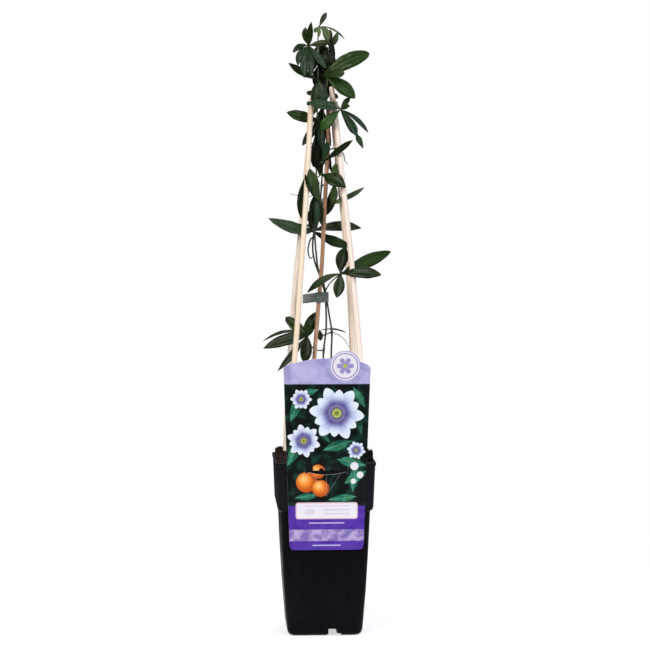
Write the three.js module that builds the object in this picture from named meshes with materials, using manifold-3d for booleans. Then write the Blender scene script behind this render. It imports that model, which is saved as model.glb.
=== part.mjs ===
// A young passion-flower vine in a tall square nursery pot: four bowed stakes and a thin cane carry
// two leafy stems. Millimetres, +Z up, the front of the pot and its card towards -Y. The numbers below
// are measured from the ground under the middle of the pot, and the last lines move the whole plant
// so that its own middle is over the origin.
import * as THREE from "three";
import { mergeVertices } from "three/addons/utils/BufferGeometryUtils.js";
import Module from "manifold-3d";

const wasm = await Module();
wasm.setup();

// ---- driving dimensions ----
const gap = 0.35; // clearance between touching pieces

const pot = {
  wall: 1.6,
  floor: 2, // top of the floor over the four flat feet
  cornerArcs: 3,
  channelWidth: 9.6, // two crossing drain channels under the floor
  channelHeight: 8.6,
  channelX: 8.6, // the front-to-back channel is right of the middle
  drainRadius: 3.2,
  drainSpread: 26,
  cutLength: 140, // long enough to cut right through the pot
  insideTop: 195.5, // below here the inside follows the outside
  insideLift: 1.2, // and sits this much higher, which keeps the steps as thick as the wall
  mouthCorner: 5,
  mouthLip: 0.4,
  // height, half width and corner radius of the outside, from the foot to the rolled lip
  outside: [
    [0, 35.5, 5], [0.9, 38.8, 6], [2.8, 41.2, 7], [5.6, 42.6, 8], [9, 43.1, 8], [53.6, 46.7, 8],
    [95, 48.9, 8], [143, 50.9, 8], [144.4, 52.4, 7.5], [146.2, 53.8, 7], [149, 54.4, 7],
    [195.4, 56.2, 6.5], [195.9, 57, 6.5], [198.9, 57.1, 6.5], [199.5, 56.6, 6],
  ],
};
const potHeight = pot.outside.at(-1)[0];

const soil = {
  level: 197.6,
  relief: 2.4,
  cells: 10,
  seed: 7,
  blockHalf: 60,
  moundHeight: 3.4,
  mounds: [[-42, 40, 500], [46, 6, 420]], // x, y and the square of the spread of each heap
  holeSteps: 8,
};

const stake = { radius: 3, sides: 8, steps: 13, foot: 14, footRoom: 6 };
// middle line of each stake above its foot; each is bowed in towards the band at the top
const stakeLines = {
  stake_front_left: [
    [-34, -33, stake.foot], [-37.4, -35.8, 110], [-39.3, -37, 203], [-36, -33, 290], [-31.7, -28, 348],
    [-28.1, -24, 404], [-24.5, -21, 449], [-20.9, -18, 495], [-17.4, -15, 551], [-14.4, -12, 609],
  ],
  stake_back_left: [
    [-36, 33, stake.foot], [-40, 36.5, 110], [-42.9, 38, 203], [-41.8, 36, 243], [-37.6, 30, 319],
    [-31.6, 22, 403], [-27, 17, 449], [-21.3, 13.5, 505], [-15.8, 11, 560], [-12, 10, 611],
  ],
  stake_front_right: [
    [35, -33, stake.foot], [39.4, -36, 110], [42.6, -37, 203], [42, -34, 280], [39.8, -30, 325],
    [36.4, -26, 370], [30.2, -20, 438], [22.5, -15, 506], [15.3, -10, 574], [9.3, -5, 623],
  ],
  stake_back_right: [
    [34, 33, stake.foot], [38.4, 36.5, 110], [40.4, 38, 203], [38.8, 34, 270], [35.3, 30, 321],
    [31.8, 22, 391], [25.6, 16, 460], [20.7, 12, 506], [14.4, 8.5, 565], [10.5, 6.5, 612],
  ],
};

const cane = {
  radius: 2.4,
  sides: 8,
  steps: 12,
  line: [
    [-28, 4, 60], [-18.4, 2, 205], [-9.9, 0, 316], [-4.9, 0, 379], [-1.2, 0, 425], [0.7, 0, 463],
    [3, 0, 508], [5.6, 0, 562], [5.9, 0, 600],
  ],
  ringHeights: [290, 466, 566],
  ringRadius: 2.9,
  ringBelow: 1.6,
  ringAbove: 1.2,
};

const band = { height: 4, thickness: 1, z: 606, slack: 0.3, arcs: 16 };

const tie = {
  z: 377.5,
  height: 11.5,
  thickness: 0.8,
  // what it is wrapped round, as x, y and the radius of its inside there
  wraps: [[-4.9, 0, 3.6], [3.2, 6.2, 2.2], [3.6, 10, 2.6]],
  tailEnd: [-23.5, -2.5],
  tailHalf: 0.8,
  tailInset: 0.5,
  arcs: 12,
};

const card = {
  thickness: 0.8,
  tilt: 2.8, // degrees that the top leans away from the stakes
  rimZ: 199.5,
  bottomZ: 100.6,
  bottomHalf: 41.8,
  bottomCorner: 8,
  shoulderHalf: 48.8,
  shoulderZ: 307,
  shoulderPull: [3, 5], // how far the corner points of the two shoulders stand in and up
  archZ: 318,
  archFrom: [36, 313], // the low arch left of the badge: where it starts and its highest pull
  archPull: 18,
  midX: 1,
  curveSteps: 6,
  badge: { x: 21.3, z: 309.3, radius: 17.3, leftRise: 9, rightRise: 4.7 },
  slot: { half: 23.6, block: 7, leg: 2, top: 196, bar: 191.4, legFoot: 187.8, sagEnd: 189.6, sagMid: 186.4,
    bumpX: 6.2, bumpRadius: 2.3 },
};

const stem = {
  radius: 1,
  sides: 5,
  steps: 29,
  petiole: 0.75,
  tendril: 0.5,
  thinSides: 4,
  hub: 2,
  rootFrom: -4, // the hole in the soil reaches from below the stem's foot to well inside the next stretch
  rootTo: 30,
};
const blade = {
  sectionLength: 11.5, // one cross-section about every so many millimetres, and at least three
  thickness: 0.7,
  behindHub: 1.2,
  foot: 0.16,
  tipHalf: 0.5,
  widest: 1.3, // over 1 moves the widest place towards the tip
  full: 0.75, // under 1 fills the outline out
  fold: 0.22,
  wave: 0.04,
  waves: 9,
};
// how far beside a stake a blade starts to bend clear of it, by how much, and how finely stakes are read
const passing = { reach: 5.5, clearance: 1, samples: 120, height: 8 };

const stemLines = {
  left: [
    [2, 14, 150], [2, 14, 218], [1, 12, 264], [1, 10, 318], [4, 9, 348], [3.5, 6.2, 375],
    [2.6, 6, 390], [0, 6, 402], [-5, 6, 414], [-8, 5, 437], [-9.6, 4.4, 459], [-11, 4, 477],
    [-9, 3.4, 506], [-7.4, 3, 528], [-6, 3, 552], [-6, 2, 580], [-7, 0, 608], [-6, 0, 637],
    [-6, 0, 665], [-5.4, -1, 689],
  ],
  right: [
    [12, 10, 150], [12, 10, 218], [11, 10, 264], [10, 10, 318], [10.6, 10, 343], [8, 10, 360],
    [4.2, 10, 382], [-3, 10.4, 407], [-9.6, 10.4, 426], [-11.4, 11, 443], [-9, 11.4, 461], [-5, 11, 477],
    [-2.6, 10, 495], [-1, 9, 516], [0, 8.4, 540], [1, 7.4, 574], [1, 6.4, 603], [5, 4, 631],
    [6, 2, 654], [5.4, 3, 668],
  ],
};

// Every leaf: where its stalk leaves the stem, points the stalk passes, the hub where the lobes meet,
// and each lobe as its tip, its width and, where it needs them, how far its middle bows off the
// straight line, which way its upper face looks, and an outline of its own.
const face = { front: [0, -0.9, 0.45], slant: [0, -0.36, 0.93], up: [0, -0.2, 1], back: [0, 0.6, 0.8] };
const leaves = {
  left: [
    { z: 390, via: [[8, -3, 400]], hub: [19, -21, 411], lobes: [
      { tip: [25, -16.5, 441], wide: 13, bow: [-3, 0, 0] },
      { tip: [77, -10, 436], wide: 16, bow: [-2, 3, 0.5] },
      { tip: [64, -35, 410], wide: 14, bow: [0, -3, 4] },
      { tip: [14, -29, 384], wide: 13, bow: [1, -2, 2] },
      { tip: [-19, -12, 389], wide: 9, bow: [0, -2, 9] },
    ] },
    { z: 322, via: [[-5, 6.5, 322], [-13.5, 1, 327]], hub: [-19, -12, 340], lobes: [
      { tip: [-6.4, 6.4, 366], wide: 12, bow: [-4, 11, 2] },
      { tip: [-43, 2, 361], wide: 10.5, bow: [3, 0, 0] },
      { tip: [-69, -4, 325], wide: 15, bow: [0, 0, 5], widest: 0.95 },
      { tip: [-53, -19, 300], wide: 8, bow: [4, 0, 3] },
      { tip: [-24, -19, 310], wide: 12.5, bow: [0, -3, 1], full: 0.6 },
      { tip: [-69, 12, 332], wide: 7, bow: [2, 4, 16], look: face.slant },
    ] },
    { z: 482, via: [], hub: [-3, -6, 491], lobes: [
      { tip: [-16.5, -23, 530], wide: 14, bow: [-3, -3, 0] },
      { tip: [-22, -24, 524], wide: 6.5, bow: [-4, -3, -3] },
    ] },
    { z: 506, via: [], hub: [-7.5, -2.5, 505], lobes: [
      { tip: [-14.5, -6, 458], wide: 7, bow: [-4, -1, 2] },
      { tip: [-8, -8, 461], wide: 7, bow: [0, -4, 0] },
      { tip: [-2.5, -6, 466], wide: 7, bow: [2, -2, 0] },
    ] },
    { z: 521, via: [[-14, -3, 527]], hub: [-20, -7, 523], lobes: [
      { tip: [-25, -9.5, 473], wide: 11, bow: [-3.5, 0, 0] },
      { tip: [-3, 21, 512], wide: 9, bow: [0, 0, 5], look: face.up },
    ] },
    { z: 519, via: [], hub: [-2, -5.6, 524], lobes: [
      { tip: [24.5, -24, 508.6], wide: 17, bow: [0, -5, 3], full: 1, widest: 1.1 },
    ] },
    { z: 535, via: [], hub: [0, -7, 538], lobes: [
      { tip: [32, -27, 562], wide: 8, bow: [0, -1, 0] },
      { tip: [5, -9, 561], wide: 9 },
    ] },
    { z: 580, via: [], hub: [-3, -1, 584], lobes: [
      { tip: [-42, -4, 594], wide: 15, bow: [0, 0, 0] },
      { tip: [-24, -2, 556], wide: 10, bow: [1, 0, 4] },
      { tip: [-8, -1, 529], wide: 12, bow: [-2, -2, 0] },
      { tip: [-2, -6, 552], wide: 10, bow: [0, -2, 0] },
    ] },
    { z: 610, via: [[0, -7, 613], [8, -15.6, 610]], hub: [19, -15, 597], lobes: [
      { tip: [-18, -21, 604], wide: 14, bow: [0, -4, 3] },
      { tip: [-3, -14, 573], wide: 13.5, bow: [-5, -5, -1] },
      { tip: [30, -12, 610.5], wide: 6.5 },
      { tip: [29, -24, 600], wide: 7 },
      { tip: [44.5, -20, 552.5], wide: 10.5, bow: [1.5, 0, 3], widest: 1 },
      { tip: [51, -8, 571], wide: 6, bow: [4, 0, 5] },
    ] },
    { z: 627, via: [], hub: [-6, -10, 631], lobes: [
      { tip: [-40, -8, 650], wide: 10, bow: [0, 0, -4] },
      { tip: [-11, -17.5, 602], wide: 9.5, bow: [-3, -1, 0] },
      { tip: [1, -16, 602], wide: 13, bow: [0, -3, 0] },
    ] },
    { z: 662, via: [], hub: [-17, -8, 669], lobes: [
      { tip: [-35, -12, 660.5], wide: 7.5, bow: [-1, -2, 7] },
      { tip: [-20.4, -5, 690], wide: 9, bow: [-2, 0, 0] },
      { tip: [-14, -12, 695.5], wide: 7.5, widest: 0.8 },
      { tip: [7.6, -16, 671.5], wide: 8.5, bow: [0, -3, 2] },
      { tip: [2.4, -22, 642], wide: 8, bow: [0, -2, 2] },
      { tip: [-29, -16, 646], wide: 8, bow: [-7, -3, 4] },
      { tip: [-23, -22, 634], wide: 8, bow: [-4, -5, 3] },
      { tip: [-15.6, -24, 634], wide: 7.5, bow: [2, -6, 2] },
    ] },
    { z: 688, via: [], hub: [-4.4, -2, 691], lobes: [
      { tip: [4, -2, 707], wide: 6 },
      { tip: [24.5, 0, 677], wide: 6, bow: [2, 0, 8], look: face.slant },
      { tip: [3.6, -5, 673], wide: 9, bow: [7, -2, 5] },
      { tip: [12, 4, 647], wide: 6.5, bow: [9, 2, 8] },
    ] },
  ],
  right: [
    { z: 343, via: [[4, 13.4, 340], [-1.6, 9.6, 339]], hub: [-3.6, 6.4, 344.6], lobes: [
      { tip: [26, -3, 343], wide: 6, bow: [0, -1.6, 6], look: face.up },
      { tip: [-2.6, 7.4, 334], wide: 6 },
    ] },
    { z: 456, via: [], hub: [-11.4, 12.6, 459], lobes: [
      { tip: [-63.5, -8, 473.5], wide: 13.5, bow: [0, 3, 2] },
      { tip: [46, 31, 462], wide: 13, bow: [0, 6, 8] },
      { tip: [37.5, 8, 443], wide: 9, bow: [0, 0, -0.5] },
      { tip: [-13, 52, 462], wide: 13, bow: [0, 0, 10], look: face.up },
    ] },
    { z: 480, via: [[-2, 17, 483]], hub: [-3, 22, 486], lobes: [
      { tip: [-5, 62, 480], wide: 13, bow: [0, 0, 9], look: face.up },
      { tip: [-15, 50, 470], wide: 9, bow: [-3, 0, 8], look: face.up },
      { tip: [5, 50, 496], wide: 9, bow: [3, 0, 7], look: face.up },
    ] },
    { z: 510, via: [[5, 6.6, 514]], hub: [13, 4, 514], lobes: [
      { tip: [4, 5, 477], wide: 10.5, bow: [3, 0, 0] },
      { tip: [9, 3.5, 488], wide: 9, bow: [1, 0, 0] },
      { tip: [15, 2, 537], wide: 10, bow: [0, -1, 0] },
    ] },
    { z: 488, via: [], hub: [7, 7, 491], lobes: [
      { tip: [47, 1, 509], wide: 6.5, bow: [4, 0, -3.5] },
    ] },
    { z: 544, via: [[-3, 15, 548]], hub: [-5, 20, 550], lobes: [
      { tip: [-4, 64, 560], wide: 13, bow: [0, 0, 8], look: face.up },
      { tip: [-14, 52, 538], wide: 12, bow: [-3, 0, 8], look: face.up },
      { tip: [3, 50, 542], wide: 10, bow: [2, 0, 8], look: face.up },
    ] },
    { z: 562, via: [], hub: [-1, 12, 568], lobes: [
      { tip: [-10, 15, 532], wide: 12, bow: [-2, 2, 0], look: face.back },
      { tip: [1, 13, 534], wide: 10.5, bow: [0, 3, 0], look: face.back },
      { tip: [-13, 9, 549], wide: 9, bow: [0, 2, 3], look: face.back },
    ] },
    { z: 608, via: [[1, 13, 612]], hub: [-1, 19, 617], lobes: [
      { tip: [0, 66, 634], wide: 14, bow: [0, 0, 6], look: face.up },
      { tip: [-14, 50, 616], wide: 12, bow: [-3, 0, 7], look: face.up },
      { tip: [19, 50, 612], wide: 12, bow: [3, 0, 7], look: face.up },
      { tip: [-9, 36, 593], wide: 9, bow: [-1, 3, 4], look: face.back },
    ] },
    { z: 634, via: [[3, -6, 636]], hub: [1, -12, 635], lobes: [
      { tip: [52, -16, 660], wide: 18, bow: [-3, -2, 4], full: 0.5 },
      { tip: [23, -27, 637], wide: 12.5, bow: [0, -3, 1], full: 0.6 },
      { tip: [35, -20, 609], wide: 17, bow: [2, -2, 4], full: 0.7 },
    ] },
    { z: 664, via: [], hub: [4.6, -1, 667], lobes: [
      { tip: [10, -5, 643], wide: 10, bow: [3, -3, 0] },
      { tip: [-1, -5, 644], wide: 9, bow: [-3, -3, 0] },
    ] },
    { z: 598, via: [], hub: [-1, 8.5, 600.5], lobes: [
      { tip: [-8, 8, 566], wide: 9.5, bow: [-2, 1, 0] },
      { tip: [3, 11, 565], wide: 10, bow: [1, 1, 0] },
    ] },
    { z: 640, via: [], hub: [0, 10, 643], lobes: [
      { tip: [-5, 8, 609], wide: 12, bow: [-2, 1, 0] },
      { tip: [5, 7, 609], wide: 11, bow: [3, 2, 0] },
    ] },
    { z: 664, via: [[3, 6, 670]], hub: [-1, 8, 676], lobes: [
      { tip: [-11, 9, 642], wide: 11, bow: [-4, 0, 0] },
      { tip: [0, 10, 636], wide: 12, bow: [0, 1, 0] },
      { tip: [8, 12, 640], wide: 10, bow: [4, 1, 0] },
    ] },
    { z: 666, via: [], hub: [7.6, 8, 668], lobes: [
      { tip: [17, 9, 686], wide: 7, bow: [2, 0, -3] },
    ] },
    { z: 622, via: [], hub: [4, -5, 624], lobes: [
      { tip: [-3, -9, 613], wide: 8, bow: [0, -2, 2] },
    ] },
    { z: 650, via: [[4, 9, 653]], hub: [1, 14, 655], lobes: [
      { tip: [-6, 54, 668], wide: 13, bow: [0, 0, 6], look: face.up },
      { tip: [13, 48, 650], wide: 11, bow: [3, 0, 6], look: face.up },
      { tip: [-18, 42, 648], wide: 11, bow: [-3, 0, 6], look: face.up },
      { tip: [9, 14, 622], wide: 14, bow: [2, 2, 0], look: face.back },
      { tip: [-8, 18, 624], wide: 12, bow: [-2, 2, 0], look: face.back },
    ] },
  ],
};

const tendrils = {
  left: [
    [[-9.6, 4, 466], [-5, -2, 470], [0.9, -3.6, 469], [4.5, 0, 467.4], [0.9, 3.6, 466], [-2.6, 0, 464.6],
      [0.8, -3.6, 463.2], [4.4, -1, 462]],
    [[-9.4, 3.6, 500], [-16, 1, 498.6], [-28, -2, 499.6], [-39, -6, 501.6]],
  ],
  right: [
    [[-10.6, 11, 452], [-13.6, 8, 450], [-16.4, 5.4, 442], [-16.8, 4.6, 434], [-14, 6.4, 427.6],
      [-10.9, 10.6, 431]],
    [[10.6, 9.4, 343], [18, 6, 340], [25, 3, 334], [30, 0, 325.6]],
    [[0.4, 8.4, 545], [8, 5.6, 552], [16, -0.6, 553], [23, -3, 547], [24.8, -2.6, 539], [28, -4.4, 535]],
  ],
};

// ---- shared helpers ----
const vector = (point) => new THREE.Vector3(...point);

function finish(name, geometry, color, roughness) {
  const plain = geometry.index ? geometry.toNonIndexed() : geometry.clone();
  plain.computeVertexNormals();
  const mesh = new THREE.Mesh(plain, new THREE.MeshStandardMaterial({ color, roughness, metalness: 0 }));
  mesh.name = name;
  return mesh;
}

function toSolid(geometry) {
  const bare = geometry.clone();
  bare.deleteAttribute("normal");
  bare.deleteAttribute("uv");
  const merged = mergeVertices(bare, 1e-4);
  return new wasm.Manifold(new wasm.Mesh({
    numProp: 3,
    vertProperties: new Float32Array(merged.attributes.position.array),
    triVerts: new Uint32Array(merged.index.array),
  }));
}

function toGeometry(solid) {
  const mesh = solid.getMesh();
  const geometry = new THREE.BufferGeometry();
  geometry.setAttribute("position", new THREE.BufferAttribute(new Float32Array(mesh.vertProperties), 3));
  geometry.setIndex(new THREE.BufferAttribute(new Uint32Array(mesh.triVerts), 1));
  return geometry;
}

// a closed solid from rings of points that all have the same count, capped at both ends
function loft(rings) {
  const count = rings[0].length;
  const positions = rings.flat().flat();
  const index = [];
  for (let ring = 0; ring + 1 < rings.length; ring += 1) {
    for (let side = 0; side < count; side += 1) {
      const a = ring * count + side;
      const b = ring * count + ((side + 1) % count);
      index.push(a, b, b + count, a, b + count, a + count);
    }
  }
  const last = (rings.length - 1) * count;
  for (let side = 1; side + 1 < count; side += 1) {
    index.push(0, side + 1, side, last, last + side, last + side + 1);
  }
  const geometry = new THREE.BufferGeometry();
  geometry.setAttribute("position", new THREE.Float32BufferAttribute(positions, 3));
  geometry.setIndex(index);
  return geometry;
}

function roundedSquare(z, half, corner) {
  const ring = [];
  for (let quarter = 0; quarter < 4; quarter += 1) {
    const turn = (quarter * Math.PI) / 2;
    for (let step = 0; step <= pot.cornerArcs; step += 1) {
      const angle = (step / pot.cornerArcs) * (Math.PI / 2);
      const x = half - corner + corner * Math.cos(angle);
      const y = half - corner + corner * Math.sin(angle);
      ring.push([x * Math.cos(turn) - y * Math.sin(turn), x * Math.sin(turn) + y * Math.cos(turn), z]);
    }
  }
  return ring;
}

function boxAt(width, depth, height, x, y, z) {
  return new THREE.BoxGeometry(width, depth, height).translate(x, y, z);
}

function tube(points, radius, sides, steps) {
  const section = new THREE.Shape();
  for (let side = 0; side < sides; side += 1) {
    const angle = (side / sides) * Math.PI * 2;
    const place = [radius * Math.cos(angle), radius * Math.sin(angle)];
    if (side === 0) section.moveTo(...place);
    else section.lineTo(...place);
  }
  section.closePath();
  const extrudePath = new THREE.CatmullRomCurve3(points.map(vector));
  return new THREE.ExtrudeGeometry(section, { steps, bevelEnabled: false, extrudePath });
}

// the point of a line at a given height
function lineAt(points, z) {
  const curve = new THREE.CatmullRomCurve3(points.map(vector));
  let low = 0;
  let high = 1;
  for (let round = 0; round < 24; round += 1) {
    const middle = (low + high) / 2;
    if (curve.getPoint(middle).z < z) low = middle;
    else high = middle;
  }
  return curve.getPoint(low);
}

// keeps the largest body of a solid: loose scraps and sealed hollows are left out
function largestBody(solid) {
  const geometry = toGeometry(solid);
  const index = Array.from(geometry.index.array);
  const owner = Array.from({ length: geometry.attributes.position.count }, (_, vertex) => vertex);
  const root = (vertex) => {
    let top = vertex;
    while (owner[top] !== top) {
      owner[top] = owner[owner[top]];
      top = owner[top];
    }
    return top;
  };
  for (let corner = 0; corner < index.length; corner += 3) {
    owner[root(index[corner])] = root(index[corner + 1]);
    owner[root(index[corner + 1])] = root(index[corner + 2]);
  }
  const sizes = new Map();
  for (const vertex of index) sizes.set(root(vertex), (sizes.get(root(vertex)) ?? 0) + 1);
  const biggest = [...sizes.entries()].sort((one, other) => other[1] - one[1])[0][0];
  const kept = [];
  for (let corner = 0; corner < index.length; corner += 3) {
    if (root(index[corner]) === biggest) kept.push(...index.slice(corner, corner + 3));
  }
  geometry.setIndex(kept);
  return geometry;
}

// ---- pot and soil ----
function potCavity(inset, top) {
  const rings = pot.outside
    .filter(([z]) => z > pot.floor && z < pot.insideTop)
    .map(([z, half, corner]) => roundedSquare(z + pot.insideLift, half - pot.wall - inset, corner - 1));
  const [, firstHalf, firstCorner] = pot.outside[1];
  rings.unshift(roundedSquare(pot.floor + inset, firstHalf - pot.wall - inset, firstCorner - 1));
  const rimHalf = pot.outside.at(-1)[1] - pot.wall - pot.mouthLip - inset;
  rings.push(roundedSquare(top, rimHalf, pot.mouthCorner));
  const housing = pot.channelWidth + 2 * (pot.wall + inset);
  const roof = pot.channelHeight + pot.wall + inset;
  const along = toSolid(boxAt(housing, pot.cutLength, roof * 2, pot.channelX, 0, 0));
  const across = toSolid(boxAt(pot.cutLength, housing, roof * 2, 0, 0, 0));
  return toSolid(loft(rings)).subtract(along).subtract(across);
}

function buildPot() {
  const outside = pot.outside.map(([z, half, corner]) => roundedSquare(z, half, corner));
  const drain = pot.channelHeight * 2;
  let body = toSolid(loft(outside)).subtract(potCavity(0, potHeight + 5));
  body = body.subtract(toSolid(boxAt(pot.channelWidth, pot.cutLength, drain, pot.channelX, 0, 0)));
  body = body.subtract(toSolid(boxAt(pot.cutLength, pot.channelWidth, drain, 0, 0, 0)));
  for (const x of [-1, 1]) {
    for (const y of [-1, 1]) {
      const hole = new THREE.CylinderGeometry(pot.drainRadius, pot.drainRadius, drain, 10);
      hole.rotateX(Math.PI / 2).translate(x * pot.drainSpread, y * pot.drainSpread, 0);
      body = body.subtract(toSolid(hole));
    }
  }
  return finish("pot", toGeometry(body), 0x16161a, 0.45);
}

function seededRandom(seed) {
  let state = seed;
  return () => {
    state = (state * 16807) % 2147483647;
    return state / 2147483647;
  };
}

// a block whose top is a lumpy surface, heaped a little in two corners
function soilBlock() {
  const random = seededRandom(soil.seed);
  const { cells, blockHalf } = soil;
  const bottom = -10;
  const positions = [];
  for (let row = 0; row <= cells; row += 1) {
    for (let column = 0; column <= cells; column += 1) {
      const x = -blockHalf + (2 * blockHalf * column) / cells;
      const y = -blockHalf + (2 * blockHalf * row) / cells;
      const lump = (random() - 0.5) * 2 * soil.relief;
      const heap = soil.mounds.reduce((sum, [heapX, heapY, spread]) =>
        sum + Math.exp(-((x - heapX) ** 2 + (y - heapY) ** 2) / spread), 0);
      positions.push(x, y, soil.level + lump + soil.moundHeight * heap);
    }
  }
  const side = cells + 1;
  const index = [];
  for (let row = 0; row < cells; row += 1) {
    for (let column = 0; column < cells; column += 1) {
      const a = row * side + column;
      index.push(a, a + 1, a + side + 1, a, a + side + 1, a + side);
    }
  }
  const edge = [];
  for (let step = 0; step < cells; step += 1) edge.push(step);
  for (let step = 0; step < cells; step += 1) edge.push(step * side + cells);
  for (let step = cells; step > 0; step -= 1) edge.push(cells * side + step);
  for (let step = cells; step > 0; step -= 1) edge.push(step * side);
  const first = positions.length / 3;
  for (const vertex of edge) positions.push(positions[vertex * 3], positions[vertex * 3 + 1], bottom);
  positions.push(0, 0, bottom);
  const middle = first + edge.length;
  edge.forEach((vertex, place) => {
    const next = (place + 1) % edge.length;
    index.push(edge[next], vertex, first + place, edge[next], first + place, first + next);
    index.push(first + next, first + place, middle);
  });
  const geometry = new THREE.BufferGeometry();
  geometry.setAttribute("position", new THREE.Float32BufferAttribute(positions, 3));
  geometry.setIndex(index);
  return geometry;
}

function buildSoil() {
  let body = potCavity(gap, potHeight + 12).intersect(toSolid(soilBlock()));
  for (const line of Object.values(stakeLines)) {
    body = body.subtract(toSolid(tube(line, stake.radius + gap, stake.sides, stake.steps)));
    const [x, y, z] = line[0];
    body = body.subtract(toSolid(boxAt(2 * stake.radius, 2 * stake.radius, stake.footRoom, x, y, z)));
  }
  body = body.subtract(toSolid(tube(cane.line, cane.radius + gap, cane.sides, cane.steps)));
  const caneFoot = boxAt(2 * cane.radius, 2 * cane.radius, stake.footRoom, ...cane.line[0]);
  body = body.subtract(toSolid(caneFoot));
  for (const line of Object.values(stemLines)) {
    const [x, y, z] = line[0];
    const hole = [[x, y, z + stem.rootFrom], [x, y, z + stem.rootTo], line[1], line[2]];
    body = body.subtract(toSolid(tube(hole, stem.radius + gap, stem.sides, soil.holeSteps)));
  }
  return finish("soil", largestBody(body), 0x33241f, 0.95);
}

// ---- stakes, cane, band and tie ----
function buildStake(name) {
  return finish(name, tube(stakeLines[name], stake.radius, stake.sides, stake.steps), 0xf0dcc8, 0.6);
}

function buildCane() {
  let body = toSolid(tube(cane.line, cane.radius, cane.sides, cane.steps));
  for (const z of cane.ringHeights) {
    const profile = [
      [0, -cane.ringBelow], [cane.radius, -cane.ringBelow], [cane.ringRadius, 0],
      [cane.radius, cane.ringAbove], [0, cane.ringAbove],
    ];
    const ring = new THREE.LatheGeometry(profile.map(([r, h]) => new THREE.Vector2(r, h)), cane.sides);
    const place = lineAt(cane.line, z);
    body = body.add(toSolid(ring.rotateX(Math.PI / 2).translate(place.x, place.y, place.z)));
  }
  return finish("cane", toGeometry(body), 0x8f7157, 0.6);
}

// the outline of a belt round circles given as [x, y, radius], counter-clockwise
function beltPoints(circles, offset, steps) {
  const points = [];
  for (const [x, y, radius] of circles) {
    for (let step = 0; step < steps; step += 1) {
      const angle = (step / steps) * Math.PI * 2;
      points.push([x + (radius + offset) * Math.cos(angle), y + (radius + offset) * Math.sin(angle)]);
    }
  }
  points.sort((one, other) => one[0] - other[0] || one[1] - other[1]);
  const turn = (a, b, c) => (b[0] - a[0]) * (c[1] - a[1]) - (b[1] - a[1]) * (c[0] - a[0]);
  const half = (list) => {
    const chain = [];
    for (const point of list) {
      while (chain.length > 1 && turn(chain.at(-2), chain.at(-1), point) <= 1e-9) chain.pop();
      chain.push(point);
    }
    return chain.slice(0, -1);
  };
  return [...half(points), ...half([...points].reverse())];
}

function belt(circles, thickness, height, steps) {
  const outline = (offset) => beltPoints(circles, offset, steps).map(([x, y]) => new THREE.Vector2(x, y));
  const shape = new THREE.Shape(outline(thickness));
  shape.holes.push(new THREE.Path(outline(0)));
  return new THREE.ExtrudeGeometry(shape, { depth: height, bevelEnabled: false });
}

function buildBand() {
  const circles = Object.values(stakeLines).map((line) => {
    const place = lineAt(line, Math.min(band.z, line.at(-1)[2] - 1));
    return [place.x, place.y, stake.radius + gap + band.slack];
  });
  const loop = belt(circles, band.thickness, band.height, band.arcs);
  loop.translate(0, 0, band.z - band.height);
  return finish("stake_band", loop, 0x24331f, 0.6);
}

function buildTie() {
  const loop = toSolid(belt(tie.wraps, tie.thickness, tie.height, tie.arcs));
  const [caneX, caneY, caneRadius] = tie.wraps[0];
  const [endX, endY] = tie.tailEnd;
  const startX = caneX - caneRadius - tie.thickness / 2;
  const tail = new THREE.Shape([
    new THREE.Vector2(startX, caneY - tie.tailHalf), new THREE.Vector2(startX, caneY + tie.tailHalf),
    new THREE.Vector2(endX, endY + tie.tailHalf), new THREE.Vector2(endX, endY - tie.tailHalf),
  ]);
  const depth = tie.height - 2 * tie.tailInset;
  const flap = new THREE.ExtrudeGeometry(tail, { depth, bevelEnabled: false }).translate(0, 0, tie.tailInset);
  const body = toGeometry(loop.add(toSolid(flap)));
  return finish("tie", body.translate(0, 0, tie.z), 0x6c7771, 0.5);
}

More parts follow.
